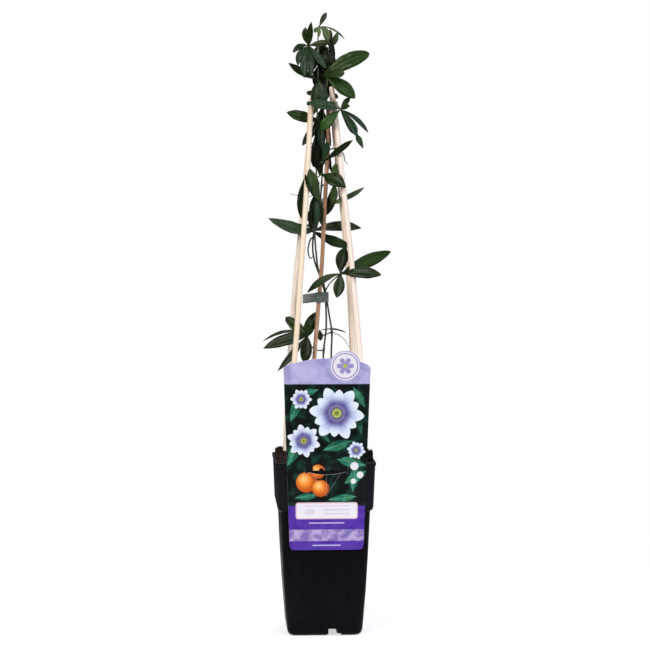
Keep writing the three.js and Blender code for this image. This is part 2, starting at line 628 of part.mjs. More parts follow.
// ---- card ----
function buildCard() {
  const { badge, slot, midX, shoulderHalf, shoulderZ } = card;
  const left = midX - card.bottomHalf;
  const right = midX + card.bottomHalf;
  const corner = card.bottomCorner;
  const [pullIn, pullUp] = card.shoulderPull;
  const [archX, archZ] = card.archFrom;
  const rightAngle = Math.asin(badge.rightRise / badge.radius);
  const leftAngle = Math.PI - Math.asin(badge.leftRise / badge.radius);
  const badgeX = badge.x + badge.radius * Math.cos(rightAngle);
  const badgeZ = badge.z + badge.radius * Math.sin(rightAngle);
  const outline = new THREE.Shape();
  outline.moveTo(left + corner, card.bottomZ);
  outline.lineTo(right - corner, card.bottomZ);
  outline.quadraticCurveTo(right, card.bottomZ, right, card.bottomZ + corner);
  outline.lineTo(midX + shoulderHalf, shoulderZ);
  outline.quadraticCurveTo(midX + shoulderHalf - pullIn, shoulderZ + pullUp, badgeX, badgeZ);
  outline.absarc(badge.x, badge.z, badge.radius, rightAngle, leftAngle, false);
  outline.quadraticCurveTo(midX - card.archPull, card.archZ, midX - archX, archZ);
  outline.quadraticCurveTo(midX - shoulderHalf + pullIn, shoulderZ + pullUp, midX - shoulderHalf, shoulderZ);
  outline.lineTo(left, card.bottomZ + corner);
  outline.quadraticCurveTo(left, card.bottomZ, left + corner, card.bottomZ);
  const hole = new THREE.Path();
  const inner = slot.half - slot.block;
  hole.moveTo(midX - slot.half, slot.legFoot);
  hole.lineTo(midX - slot.half, slot.top);
  hole.lineTo(midX - inner, slot.top);
  hole.lineTo(midX - inner, slot.bar);
  for (const side of [-1, 1]) {
    hole.lineTo(midX + side * slot.bumpX - slot.bumpRadius, slot.bar);
    hole.absarc(midX + side * slot.bumpX, slot.bar, slot.bumpRadius, Math.PI, 0, true);
  }
  hole.lineTo(midX + inner, slot.bar);
  hole.lineTo(midX + inner, slot.top);
  hole.lineTo(midX + slot.half, slot.top);
  hole.lineTo(midX + slot.half, slot.legFoot);
  hole.lineTo(midX + slot.half - slot.leg, slot.legFoot);
  hole.lineTo(midX + slot.half - slot.leg, slot.sagEnd);
  hole.quadraticCurveTo(midX, 2 * slot.sagMid - slot.sagEnd, midX - slot.half + slot.leg, slot.sagEnd);
  hole.lineTo(midX - slot.half + slot.leg, slot.legFoot);
  outline.holes.push(hole);
  const plate = new THREE.ExtrudeGeometry(outline,
    { depth: card.thickness, bevelEnabled: false, curveSegments: card.curveSteps });
  plate.translate(0, -card.rimZ, 0);
  const mesh = finish("label_card", plate, 0x8f86c8, 0.35);
  mesh.rotation.x = Math.PI / 2 + THREE.MathUtils.degToRad(card.tilt);
  mesh.position.set(0, -(pot.outside.at(-2)[1] + gap), card.rimZ);
  return mesh;
}

// ---- leafy stems ----
const rods = [
  ...Object.values(stakeLines).map((line) => ({ line, radius: stake.radius })),
  { line: cane.line, radius: cane.radius },
].map(({ line, radius }) => {
  const curve = new THREE.CatmullRomCurve3(line.map(vector));
  return { radius, samples: curve.getPoints(passing.samples) };
});

// bends a point forwards or backwards so that a blade passes a stake without touching it
function bendClear(point) {
  for (const { radius, samples } of rods) {
    const place = samples.reduce((best, sample) =>
      (Math.abs(sample.z - point.z) < Math.abs(best.z - point.z) ? sample : best));
    if (Math.abs(place.z - point.z) > passing.height) continue;
    const aside = Math.abs(point.x - place.x);
    if (aside > radius + passing.reach) continue;
    const ease = Math.min(1, (radius + passing.reach - aside) / (passing.reach - 1));
    const wanted = (radius + passing.clearance + blade.thickness / 2) * ease;
    const depth = point.y - place.y;
    if (Math.abs(depth) < wanted) point.y = place.y + (depth < 0 ? -wanted : wanted);
  }
  return point;
}

// one lobe: a thin blade folded along its midrib, pointed at the tip, slim at the foot
function lobe(hub, shape, phase) {
  const { tip, wide, bow = [0, 0, 2], look = face.front, full = blade.full, widest = blade.widest } = shape;
  const start = vector(hub);
  const end = vector(tip);
  const bend = start.clone().add(end).multiplyScalar(0.5).add(vector(bow));
  const curve = new THREE.QuadraticBezierCurve3(start, bend, end);
  const back = curve.getTangent(0).multiplyScalar(-blade.behindHub);
  const rings = [];
  const sections = Math.max(3, Math.round(start.distanceTo(end) / blade.sectionLength));
  for (let section = 0; section <= sections; section += 1) {
    const t = section / sections;
    const middle = curve.getPoint(t);
    if (section === 0) middle.add(back);
    const along = curve.getTangent(t);
    const across = new THREE.Vector3().crossVectors(along, vector(look)).normalize();
    const up = new THREE.Vector3().crossVectors(across, along).normalize();
    const swell = Math.max(0, Math.sin(Math.PI * t ** widest)) ** full;
    const half = Math.max((wide / 2) * swell, (wide / 2) * blade.foot * (1 - t), blade.tipHalf);
    const ripple = wide * blade.wave * Math.sin(t * blade.waves + phase);
    const lift = half * blade.fold;
    const leftEdge = middle.clone().addScaledVector(across, -half).addScaledVector(up, lift + ripple);
    const rightEdge = middle.clone().addScaledVector(across, half).addScaledVector(up, lift - ripple);
    const top = up.clone().multiplyScalar(blade.thickness / 2);
    const corners = [leftEdge, middle, rightEdge].map((corner) => bendClear(corner));
    const upper = corners.map((corner) => corner.clone().add(top).toArray());
    const lower = corners.map((corner) => corner.clone().sub(top).toArray());
    rings.push([...upper, ...lower.reverse()]);
  }
  return stripLoft(rings);
}

// skin of a blade: three points on the upper face, three on the lower, split alike on both faces
function stripLoft(rings) {
  const index = [];
  const quads = [[0, 1], [1, 2]];
  for (let ring = 0; ring + 1 < rings.length; ring += 1) {
    const near = ring * 6;
    const far = near + 6;
    for (const [a, b] of quads) {
      index.push(near + a, far + b, far + a, near + a, near + b, far + b);
      const [c, d] = [5 - a, 5 - b];
      index.push(near + c, far + c, far + d, near + c, far + d, near + d);
    }
    index.push(near + 2, far + 3, far + 2, near + 2, near + 3, far + 3);
    index.push(near + 5, far, far + 5, near + 5, near, far);
  }
  const last = (rings.length - 1) * 6;
  for (const [a, b, c, d] of [[0, 1, 4, 5], [1, 2, 3, 4]]) {
    index.push(a, c, b, a, d, c);
    index.push(last + a, last + b, last + c, last + a, last + c, last + d);
  }
  const geometry = new THREE.BufferGeometry();
  geometry.setAttribute("position", new THREE.Float32BufferAttribute(rings.flat().flat(), 3));
  geometry.setIndex(index);
  return geometry;
}

function ball(radius, place) {
  return toSolid(new THREE.IcosahedronGeometry(radius, 0).translate(...place));
}

function buildVine(side) {
  const line = stemLines[side];
  let body = toSolid(tube(line, stem.radius, stem.sides, stem.steps));
  leaves[side].forEach((leaf, number) => {
    const start = lineAt(line, leaf.z).toArray();
    const stalk = tube([start, ...leaf.via, leaf.hub], stem.petiole, stem.thinSides, 2 + 3 * leaf.via.length);
    body = body.add(toSolid(stalk)).add(ball(stem.hub, leaf.hub));
    leaf.lobes.forEach((shape, place) => {
      const phase = number * 1.7 + place * 2.3; // no two lobes ripple alike
      body = body.add(toSolid(lobe(leaf.hub, shape, phase)));
    });
  });
  for (const points of tendrils[side]) {
    body = body.add(toSolid(tube(points, stem.tendril, stem.thinSides, points.length * 2)));
  }
  return finish(`vine_${side}`, largestBody(body), 0x2f4526, 0.4);
}

const group = new THREE.Group();
group.name = "potted_passion_flower_vine";
group.add(buildPot(), buildSoil());
for (const name of Object.keys(stakeLines)) group.add(buildStake(name));
group.add(buildCane(), buildBand(), buildTie(), buildCard(), buildVine("left"), buildVine("right"));

const middle = new THREE.Box3().setFromObject(group, true).getCenter(new THREE.Vector3());
group.position.set(-middle.x, -middle.y, 0);

export default group;
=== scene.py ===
import math
import random

import bmesh
import bpy
from mathutils import Matrix, Vector, noise


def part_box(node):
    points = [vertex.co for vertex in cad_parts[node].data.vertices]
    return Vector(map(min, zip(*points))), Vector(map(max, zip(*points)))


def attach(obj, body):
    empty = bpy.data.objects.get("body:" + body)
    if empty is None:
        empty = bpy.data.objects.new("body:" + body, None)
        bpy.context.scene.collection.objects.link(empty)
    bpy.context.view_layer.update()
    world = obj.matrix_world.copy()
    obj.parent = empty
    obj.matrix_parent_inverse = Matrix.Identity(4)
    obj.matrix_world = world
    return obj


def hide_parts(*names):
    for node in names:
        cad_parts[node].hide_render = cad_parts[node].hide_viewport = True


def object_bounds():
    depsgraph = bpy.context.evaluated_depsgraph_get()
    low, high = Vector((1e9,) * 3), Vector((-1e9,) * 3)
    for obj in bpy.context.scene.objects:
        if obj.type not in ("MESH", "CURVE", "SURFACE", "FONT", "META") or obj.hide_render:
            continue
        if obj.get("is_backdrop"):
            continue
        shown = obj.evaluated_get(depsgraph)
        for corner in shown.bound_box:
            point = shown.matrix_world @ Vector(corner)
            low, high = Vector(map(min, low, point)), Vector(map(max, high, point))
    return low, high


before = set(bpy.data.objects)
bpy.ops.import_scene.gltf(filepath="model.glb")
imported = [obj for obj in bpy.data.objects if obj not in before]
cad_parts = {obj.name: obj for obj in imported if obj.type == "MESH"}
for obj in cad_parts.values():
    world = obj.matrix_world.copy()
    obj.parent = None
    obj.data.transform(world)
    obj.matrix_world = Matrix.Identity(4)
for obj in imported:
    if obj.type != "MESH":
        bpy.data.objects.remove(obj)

# A young passion-flower vine in a tall square nursery pot. Sizes and places in the settings are in
# millimetres, unless a note says metres, from the ground under the middle of the pot, its front towards -Y.

print("frame loaded")
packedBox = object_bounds()
potLow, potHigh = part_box("pot")
potMiddle = (potLow + potHigh) / 2
millimetre = 0.001


def place(point):
    x, y, z = point
    return Vector((x * millimetre + potMiddle.x, y * millimetre + potMiddle.y, z * millimetre))


# pieces and meshes
def linkObject(name, data):
    piece = bpy.data.objects.new(name, data)
    bpy.context.scene.collection.objects.link(piece)
    return piece


def addPiece(name, mesh, nodes):
    piece = linkObject(name, mesh)
    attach(piece, "root")
    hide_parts(*nodes)
    return piece


def evaluatedMesh(piece):
    graph = bpy.context.evaluated_depsgraph_get()
    source = piece.evaluated_get(graph)
    return bpy.data.meshes.new_from_object(source, preserve_all_data_layers=True, depsgraph=graph)


def bakeModifiers(piece):
    piece.data = evaluatedMesh(piece)
    piece.modifiers.clear()
    return piece.data


def smoothFaces(mesh, sharpDegrees):
    mesh.polygons.foreach_set("use_smooth", [True] * len(mesh.polygons))
    mesh.set_sharp_from_angle(angle=math.radians(sharpDegrees))
    return mesh


def roundEdges(piece, width, limitDegrees=50, sharpDegrees=40):
    bevel = piece.modifiers.new("edges", "BEVEL")
    bevel.width = width * millimetre
    bevel.segments = 2
    bevel.limit_method = "ANGLE"
    bevel.angle_limit = math.radians(limitDegrees)
    mesh = smoothFaces(bakeModifiers(piece), sharpDegrees)
    bpy.data.objects.remove(piece)
    return mesh


def dressMesh(mesh, *materials):
    mesh.materials.clear()
    for material in materials:
        mesh.materials.append(material)


def ringLoft(name, rings):
    # a closed shell through rings of equal count, capped at both ends
    count = len(rings[0])
    points = [place(point) for ring in rings for point in ring]
    faces = []
    for row in range(len(rings) - 1):
        for side in range(count):
            a = row * count + side
            b = row * count + (side + 1) % count
            faces.append((a, b, b + count, a + count))
    faces.append(tuple(reversed(range(count))))
    faces.append(tuple(range((len(rings) - 1) * count, len(rings) * count)))
    mesh = bpy.data.meshes.new(name)
    mesh.from_pydata(points, [], faces)
    return mesh


def combine(base, mesh, operation):
    other = linkObject("cutter", mesh)
    modifier = base.modifiers.new("combine", "BOOLEAN")
    modifier.operation = operation
    modifier.solver = "EXACT"
    modifier.object = other
    bakeModifiers(base)
    bpy.data.objects.remove(other)


# smooth lines through given points
def smoothLine(points, count):
    knots = [Vector(point) for point in points]
    chain = [2 * knots[0] - knots[1], *knots, 2 * knots[-1] - knots[-2]]
    last = len(knots) - 1
    line = []
    for step in range(count + 1):
        part = min(int(step * last / count), last - 1)
        local = step * last / count - part
        a, b, c, d = chain[part:part + 4]
        ab, bc, cd = (max((q - p).length, 1e-6) ** 0.5 for p, q in ((a, b), (b, c), (c, d)))
        leave = ((b - a) / ab - (c - a) / (ab + bc) + (c - b) / bc) * bc
        arrive = ((c - b) / bc - (d - b) / (bc + cd) + (d - c) / cd) * bc
        square = 3 * (c - b) - 2 * leave - arrive
        cube = 2 * (b - c) + leave + arrive
        line.append(b + leave * local + square * local ** 2 + cube * local ** 3)
    return line


def pointAtHeight(line, z):
    for low, high in zip(line, line[1:]):
        if low.z <= z <= high.z:
            return low.lerp(high, (z - low.z) / max(high.z - low.z, 1e-6))
    return line[-1] if z > line[-1].z else line[0]


# node trees
socketKinds = {int: "Int", float: "Float", tuple: "Vector"}


def newTree(name, inputs, outputs, kind="ShaderNodeTree"):
    # an input comes with its plain value, or with the kind of its socket where it has none
    tree = bpy.data.node_groups.new(name, kind)
    for label, value in inputs:
        socketKind = value if isinstance(value, str) else socketKinds[type(value)]
        socket = tree.interface.new_socket(name=label, in_out="INPUT", socket_type=f"NodeSocket{socketKind}")
        if not isinstance(value, str):
            socket.default_value = value
    for label in outputs:
        socketKind = label if label == "Geometry" else "Float"
        tree.interface.new_socket(name=label, in_out="OUTPUT", socket_type=f"NodeSocket{socketKind}")
    return tree, tree.nodes.new("NodeGroupInput").outputs, tree.nodes.new("NodeGroupOutput").inputs


def addNode(tree, kind, settings=None, **links):
    # settings are the node's own properties; links are values or sockets by input name or number.
    # What comes back are the node's outputs
    node = tree.nodes.new(kind if "Node" in kind else f"ShaderNode{kind}")
    for key, value in (settings or {}).items():
        setattr(node, key, value)
    for key, value in links.items():
        numbered = key[0] == "n" and key[1:].isdigit()
        socket = node.inputs[int(key[1:]) if numbered else spaced(key)]
        if isinstance(value, bpy.types.NodeSocket):
            tree.links.new(value, socket)
        else:
            socket.default_value = value
    return node.outputs


def spaced(key):
    # fillCaps -> Fill Caps
    words = "".join(" " + letter if letter.isupper() else letter for letter in key)
    return words[0].upper() + words[1:]


def mathNode(tree, operation, first, second=None, third=None):
    given = {f"n{number}": value for number, value in enumerate((first, second, third)) if value is not None}
    return addNode(tree, "Math", {"operation": operation}, **given)[0]


def vectorNode(tree, operation, first, second=None):
    given = {f"n{number}": value for number, value in enumerate((first, second)) if value is not None}
    return addNode(tree, "VectorMath", {"operation": operation}, **given)


def times(tree, first, second):
    return mathNode(tree, "MULTIPLY", first, second)


def minus(tree, first, second):
    return mathNode(tree, "SUBTRACT", first, second)


def scaledVector(tree, vector, factor):
    return addNode(tree, "VectorMath", {"operation": "SCALE"}, n0=vector, scale=factor)[0]


def rangeNode(tree, value, low, high, kind="SMOOTHSTEP", **ends):
    # 0 at low and 1 at high, unless other ends are given
    return addNode(tree, "MapRange", {"interpolation_type": kind}, value=value, fromMin=low,
                   fromMax=high, **ends)[0]


def splitVector(tree, vector):
    return addNode(tree, "SeparateXYZ", n0=vector)


def runTree(piece, tree, values):
    modifier = piece.modifiers.new(tree.name, "NODES")
    modifier.node_group = tree
    for item in tree.interface.items_tree:
        if item.item_type == "SOCKET" and item.in_out == "INPUT" and item.name in values:
            modifier[item.identifier] = values[item.name]
    mesh = evaluatedMesh(piece)
    piece.modifiers.clear()
    bpy.data.objects.remove(piece)
    return mesh


treeSettings = {
    "tubeSharp": 50, # in degrees
    "facingUp": 0.4, "bitScale": 420.0, "bitDepth": 0.0016, # strewn bits, their depth of relief in metres
    "broadFibre": {"scale": 0.35, "detail": 2.0}, "fineFibre": {"scale": 1.3, "detail": 3.0},
    "fibreMask": (0.36, 0.66),
    # where midrib, side veins and rim start and are full, from 0 to 1 across
    "midrib": (0.11, 0.02), "sideVein": (0.13, 0.02), "rim": (0.86, 1.0),
}


def makeTubeTree():
    # sweeps a ring along each spline, as thick as the spline's own radius, a little uneven on its surface
    tree, given, result = newTree("pathTube", [
        ("Geometry", "Geometry"),
        ("Sides", 16),
        ("Spacing", 0.002),
        ("Wobble", 0.0),
        ("Wobble Scale", 80.0),
        ("Seed", 1.0),
        ("Material", "Material"),
    ], ["Geometry"], "GeometryNodeTree")
    even = addNode(tree, "GeometryNodeResampleCurve", {"mode": "LENGTH"},
                   curve=given["Geometry"], length=given["Spacing"])
    travelled = addNode(tree, "GeometryNodeSplineParameter")["Length"]
    marked = addNode(tree, "GeometryNodeStoreNamedAttribute", {"data_type": "FLOAT", "domain": "POINT"},
                     geometry=even[0], name="along", value=travelled)
    ring = addNode(tree, "GeometryNodeCurvePrimitiveCircle", {"mode": "RADIUS"},
                   resolution=given["Sides"], radius=1.0)
    facing = addNode(tree, "GeometryNodeStoreNamedAttribute",
                     {"data_type": "FLOAT_VECTOR", "domain": "POINT"},
                     geometry=ring[0], name="facing",
                     value=addNode(tree, "GeometryNodeInputPosition")[0])
    sweep = addNode(tree, "GeometryNodeCurveToMesh", curve=marked[0], profileCurve=facing[0],
                    scale=addNode(tree, "GeometryNodeInputRadius")[0], fillCaps=True)
    lumps = addNode(tree, "TexNoise", {"noise_dimensions": "4D"},
                    vector=addNode(tree, "GeometryNodeInputPosition")[0],
                    w=given["Seed"], scale=given["Wobble Scale"], detail=2.0)
    height = times(tree, minus(tree, lumps[0], 0.5), given["Wobble"])
    push = scaledVector(tree, addNode(tree, "GeometryNodeInputNormal")[0], height)
    moved = addNode(tree, "GeometryNodeSetPosition", geometry=sweep[0], offset=push)
    whole = addNode(tree, "GeometryNodeRealizeInstances", geometry=moved[0])
    dressed = addNode(tree, "GeometryNodeSetMaterial", geometry=whole[0], material=given["Material"])
    tree.links.new(dressed[0], result["Geometry"])
    return tree


def makeScatterTree():
    # strews rough little bodies over the faces that look up, at random turns and sizes
    tree, given, result = newTree("scatterBits", [
        ("Geometry", "Geometry"),
        ("Density", 30000.0),
        ("Smallest", (0.001, 0.001, 0.001)),
        ("Largest", (0.002, 0.002, 0.002)),
        ("Turn", (3.0, 3.0, 3.0)),
        ("Lift", 0.0),
        ("Seed", 1),
        ("Material", "Material"),
    ], ["Geometry"], "GeometryNodeTree")
    normal = splitVector(tree, addNode(tree, "GeometryNodeInputNormal")[0])
    topFaces = mathNode(tree, "GREATER_THAN", normal[2], treeSettings["facingUp"])
    spots = addNode(tree, "GeometryNodeDistributePointsOnFaces", {"distribute_method": "RANDOM"},
                    mesh=given["Geometry"], selection=topFaces, density=given["Density"], seed=given["Seed"])
    lifted = addNode(tree, "CombineXYZ", n2=given["Lift"])
    raised = addNode(tree, "GeometryNodeSetPosition", geometry=spots["Points"], offset=lifted[0])
    turn = addNode(tree, "FunctionNodeRandomValue", {"data_type": "FLOAT_VECTOR"},
                   min=(0.0, 0.0, 0.0), max=given["Turn"], seed=given["Seed"])
    size = addNode(tree, "FunctionNodeRandomValue", {"data_type": "FLOAT_VECTOR"},
                   min=given["Smallest"], max=given["Largest"], seed=given["Seed"])
    body = addNode(tree, "GeometryNodeMeshIcoSphere", radius=1.0, subdivisions=1)
    strewn = addNode(tree, "GeometryNodeInstanceOnPoints", points=raised[0],
                     instance=body[0], rotation=turn[0], scale=size[0])
    tint = addNode(tree, "FunctionNodeRandomValue", {"data_type": "FLOAT"}, seed=given["Seed"])
    tinted = addNode(tree, "GeometryNodeStoreNamedAttribute", {"data_type": "FLOAT", "domain": "INSTANCE"},
                     geometry=strewn[0], name="tint", value=tint[1])
    whole = addNode(tree, "GeometryNodeRealizeInstances", geometry=tinted[0])
    rough = addNode(tree, "TexNoise", {"noise_dimensions": "3D"}, scale=treeSettings["bitScale"],
                    detail=1.0, vector=addNode(tree, "GeometryNodeInputPosition")[0])
    shift = vectorNode(tree, "SUBTRACT", rough[1], (0.5, 0.5, 0.5))
    push = scaledVector(tree, shift[0], treeSettings["bitDepth"])
    moved = addNode(tree, "GeometryNodeSetPosition", geometry=whole[0], offset=push)
    dressed = addNode(tree, "GeometryNodeSetMaterial", geometry=moved[0], material=given["Material"])
    tree.links.new(dressed[0], result["Geometry"])
    return tree


tubeTree = makeTubeTree()
scatterTree = makeScatterTree()


def sweepStrands(name, strands, settings, material):
    # strands are lists of points with their radii, in millimetres
    data = bpy.data.curves.new(name, "CURVE")
    data.dimensions = "3D"
    for points, radii in strands:
        spline = data.splines.new("POLY")
        spline.points.add(len(points) - 1)
        for knot, point, radius in zip(spline.points, points, radii):
            knot.co = (*place(point), 1)
            knot.radius = radius * millimetre
    mesh = runTree(linkObject(name, data), tubeTree, {
        "Sides": settings["sides"], "Spacing": settings["spacing"] * millimetre,
        "Wobble": settings["wobble"] * millimetre, "Wobble Scale": settings["wobbleScale"],
        "Seed": float(settings["seed"]), "Material": material,
    })
    mesh.name = name
    return smoothFaces(mesh, treeSettings["tubeSharp"])


# shared effects of the finishes
def paint(code):
    shares = [int(code[start:start + 2], 16) / 255 for start in (1, 3, 5)]
    linear = [share / 12.92 if share <= 0.04045 else ((share + 0.055) / 1.055) ** 2.4 for share in shares]
    return (*linear, 1)


def newMaterial(name, settings):
    material = bpy.data.materials.new(name)
    material.use_nodes = True
    tree = material.node_tree
    shader = next(node for node in tree.nodes if node.type == "BSDF_PRINCIPLED")
    for label, value in settings.items():
        shader.inputs[label].default_value = value
    return material, tree, shader


def useGroup(tree, group, **links):
    return addNode(tree, "Group", {"node_tree": group}, **links)


def blend(tree, mask, first, second):
    # first and second are sockets or colour codes
    first, second = (paint(tint) if isinstance(tint, str) else tint for tint in (first, second))
    return addNode(tree, "Mix", {"data_type": "RGBA"}, n0=mask, n6=first, n7=second)[2]


def rodFibres(tree, **links):
    facing = readAttribute(tree, "facing")["Vector"]
    along = readAttribute(tree, "along")["Fac"]
    return useGroup(tree, fibreGroup, facing=facing, along=along, **links)


def blendValues(tree, mask, first, second):
    return addNode(tree, "Mix", {"data_type": "FLOAT"}, n0=mask, n2=first, n3=second)[0]


def addBump(tree, shader, height, depth):
    # depth is a distance in metres and a strength
    distance, strength = depth
    bump = addNode(tree, "Bump", strength=strength, distance=distance, height=height)
    plugInto(tree, shader, normal=bump[0])


def plugInto(tree, shader, **sockets):
    for key, socket in sockets.items():
        tree.links.new(socket, shader.inputs[spaced(key)])


def objectPlace(tree):
    return addNode(tree, "TexCoord")["Object"]


def readAttribute(tree, name):
    return addNode(tree, "Attribute", {"attribute_type": "GEOMETRY", "attribute_name": name})


def makeGrainGroup():
    # an uneven mask: Low and High are where the noise turns from none to full
    tree, given, result = newTree("grain", [
        ("Vector", "Vector"),
        ("Scale", 100.0),
        ("Detail", 3.0),
        ("Low", 0.4),
        ("High", 0.6),
    ], ["Mask"])
    cloud = addNode(tree, "TexNoise", vector=given["Vector"], scale=given["Scale"], detail=given["Detail"])
    mask = rangeNode(tree, cloud[0], given["Low"], given["High"])
    tree.links.new(mask, result["Mask"])
    return tree


def makeFibreGroup():
    # long thin streaks that follow a swept rod, from its own facing and along attributes
    tree, given, result = newTree("fibres", [
        ("Facing", "Vector"),
        ("Along", 0.0),
        ("Across Scale", 9.0),
        ("Along Scale", 14.0),
        ("Shift", 0.0),
    ], ["Mask", "Fine"])
    parts = splitVector(tree, scaledVector(tree, given["Facing"], given["Across Scale"]))
    far = mathNode(tree, "MULTIPLY_ADD", given["Along"], given["Along Scale"], given["Shift"])
    at = addNode(tree, "CombineXYZ", n0=parts[0], n1=parts[1], n2=far)
    broad = addNode(tree, "TexNoise", vector=at[0], **treeSettings["broadFibre"])
    fine = addNode(tree, "TexNoise", vector=at[0], **treeSettings["fineFibre"])
    tree.links.new(rangeNode(tree, broad[0], *treeSettings["fibreMask"]), result["Mask"])
    tree.links.new(fine[0], result["Fine"])
    return tree


def makeVeinGroup():
    # midrib, side veins and rim of a lobe, from how far across and along it a point lies
    tree, given, result = newTree("leafVeins", [
        ("Map", "Vector"),
        ("Spacing", 0.0042),
        ("Slope", 1.5),
    ], ["Midrib", "Veins", "Rim"])
    parts = splitVector(tree, given["Map"])
    across = mathNode(tree, "ABSOLUTE", parts[0])
    far = mathNode(tree, "DIVIDE", times(tree, parts[1], parts[2]), given["Spacing"])
    phase = mathNode(tree, "FRACT", minus(tree, far, times(tree, across, given["Slope"])))
    away = mathNode(tree, "ABSOLUTE", minus(tree, phase, 0.5))
    inside = minus(tree, 1.0, mathNode(tree, "POWER", across, 3.0))
    vein = rangeNode(tree, away, *treeSettings["sideVein"])
    tree.links.new(rangeNode(tree, across, *treeSettings["midrib"]), result["Midrib"])
    tree.links.new(times(tree, vein, inside), result["Veins"])
    tree.links.new(rangeNode(tree, across, *treeSettings["rim"]), result["Rim"])
    return tree


grainGroup = makeGrainGroup()
fibreGroup = makeFibreGroup()
veinGroup = makeVeinGroup()
print("node groups ready")


def grain(tree, vector, shape):
    # shape is the scale and the detail of the noise, and where its mask turns from none to full
    scale, detail, low, high = shape
    group = useGroup(tree, grainGroup, vector=vector, scale=scale, detail=detail, low=low, high=high)
    return group[0]


# pot
potSettings = {
    "wall": 1.6,
    "insideLift": 1.2, # the inside repeats the outside's steps this much higher
    "mouthHalf": 54.6, "cornerSteps": 10, "footRows": 10,
    # height, half width and corner radius: the rounded foot, then the walls, the collar and the lip
    "foot": [(0, 35.5, 5), (0.9, 38.8, 6), (2.8, 41.2, 7), (5.6, 42.6, 8), (9, 43.1, 8)],
    "walls": [(53.6, 46.7, 8), (95, 48.9, 8), (143, 50.9, 8), (143.8, 51.6, 7.8), (144.6, 52.7, 7.5),
              (146.2, 53.8, 7), (149, 54.4, 7), (195.2, 56.2, 6.5)],
    "lip": [(195.5, 56.75, 6.5), (196.1, 57.05, 6.5), (198.5, 57.1, 6.5), (199.2, 56.95, 6.4),
            (199.5, 56.5, 6)],
    "inside": [(199.5, 55.2, 5.4), (199.2, 54.8, 5.2), (198.6, 54.6, 5)],
    "floorTop": 2.0, "floorHalf": 38, "floorCorner": 6, "floorBend": 3, "channelX": 8.6,
    # height and the reach to both sides of a drain channel, which flares towards the floor
    "channel": [(0, 7.6, 11.2), (1.2, 6.2, 10.2), (3.1, 5, 8.4), (3.4, 4.8, 4.8), (8.6, 4.8, 4.8)],
    "housingHalfLength": 39.4, "drainRadius": 3.2, "drainSides": 24, "drainSpread": 26,
    "cutReach": 80, "cutFrom": -5, "cutTo": 5, # how far the tools for channels and drain holes reach
    "bevel": 0.35, "bevelDegrees": 40, "sharpDegrees": 38,
    # the collar tint is a painted sheen: a lighter bluish black standing in for the light the collar's sides
    # catch
    "tints": {"plain": "#050409", "dusty": "#0a0910", "drag": "#15141b", "collar": "#17171f"},
    "collarSheenFade": (0.142, 0.15), # in metres, the heights between which the collar's painted sheen sets in
    "collarShare": 0.8,
    "plastic": {"Specular IOR Level": 0.055, "IOR": 1.5},
    "dust": (34.0, 5.0, 0.46, 0.72), "fine": (2600.0, 2.0, 0.3, 0.7),
    "drag": (1.0, 3.0, 0.55, 0.8), "dragStretch": (260.0, 260.0, 9.0),
    "dragShare": 0.35, "dragRough": 0.1, "dragRelief": 0.4,
    "roughness": (0.36, 0.5), "relief": (0.00004, 0.7),
}


def roundedSquare(z, half, corner, cornerSteps, sideSteps=1):
    ring = []
    for quarter in range(4):
        turn = quarter * math.pi / 2
        for step in range(cornerSteps + 1):
            angle = step / cornerSteps * math.pi / 2
            x = half - corner + corner * math.cos(angle)
            y = half - corner + corner * math.sin(angle)
            ring.append((x * math.cos(turn) - y * math.sin(turn),
                         x * math.sin(turn) + y * math.cos(turn), z))
        for step in range(1, sideSteps):
            x = (half - corner) * (1 - 2 * step / sideSteps)
            ring.append((x * math.cos(turn) - half * math.sin(turn),
                         x * math.sin(turn) + half * math.cos(turn), z))
    return ring


def wallHalf(z, inset):
    # half width of the pot's inside at a height
    rows = [*potSettings["foot"], *potSettings["walls"]]
    z = z - potSettings["insideLift"]
    for (low, lowHalf, _), (high, highHalf, _) in zip(rows, rows[1:]):
        if low <= z <= high:
            return lowHalf + (highHalf - lowHalf) * (z - low) / (high - low) - potSettings["wall"] - inset
    return potSettings["mouthHalf"] - inset


def channelMesh(name, rows, far, middle, turned):
    rings = []
    for z, left, right in rows:
        x, y = middle - left, middle + right
        corners = [(x, -far), (y, -far), (y, far), (x, far)]
        rings.append([(-b, a, z) if turned else (a, b, z) for a, b in corners])
    return ringLoft(name, rings)


def makePotPlastic():
    settings = potSettings
    tints = settings["tints"]
    material, tree, shader = newMaterial("potPlastic", settings["plastic"])
    spot = objectPlace(tree)
    dust = grain(tree, spot, settings["dust"])
    stretched = addNode(tree, "Mapping", vector=spot, scale=settings["dragStretch"])
    drag = grain(tree, stretched[0], settings["drag"])
    base = blend(tree, dust, tints["plain"], tints["dusty"])
    base = blend(tree, times(tree, drag, settings["dragShare"]), base, tints["drag"])
    # painted sheen: above the step the plastic is blended towards the lighter collar tint
    collar = rangeNode(tree, splitVector(tree, spot)[2], *settings["collarSheenFade"],
                       toMax=settings["collarShare"])
    base = blend(tree, collar, base, tints["collar"])
    rough = blendValues(tree, dust, *settings["roughness"])
    rough = mathNode(tree, "MULTIPLY_ADD", drag, settings["dragRough"], rough)
    plugInto(tree, shader, baseColor=base, roughness=rough)
    fine = grain(tree, spot, settings["fine"])
    relief = mathNode(tree, "MULTIPLY_ADD", drag, settings["dragRelief"], fine)
    addBump(tree, shader, relief, settings["relief"])
    return material


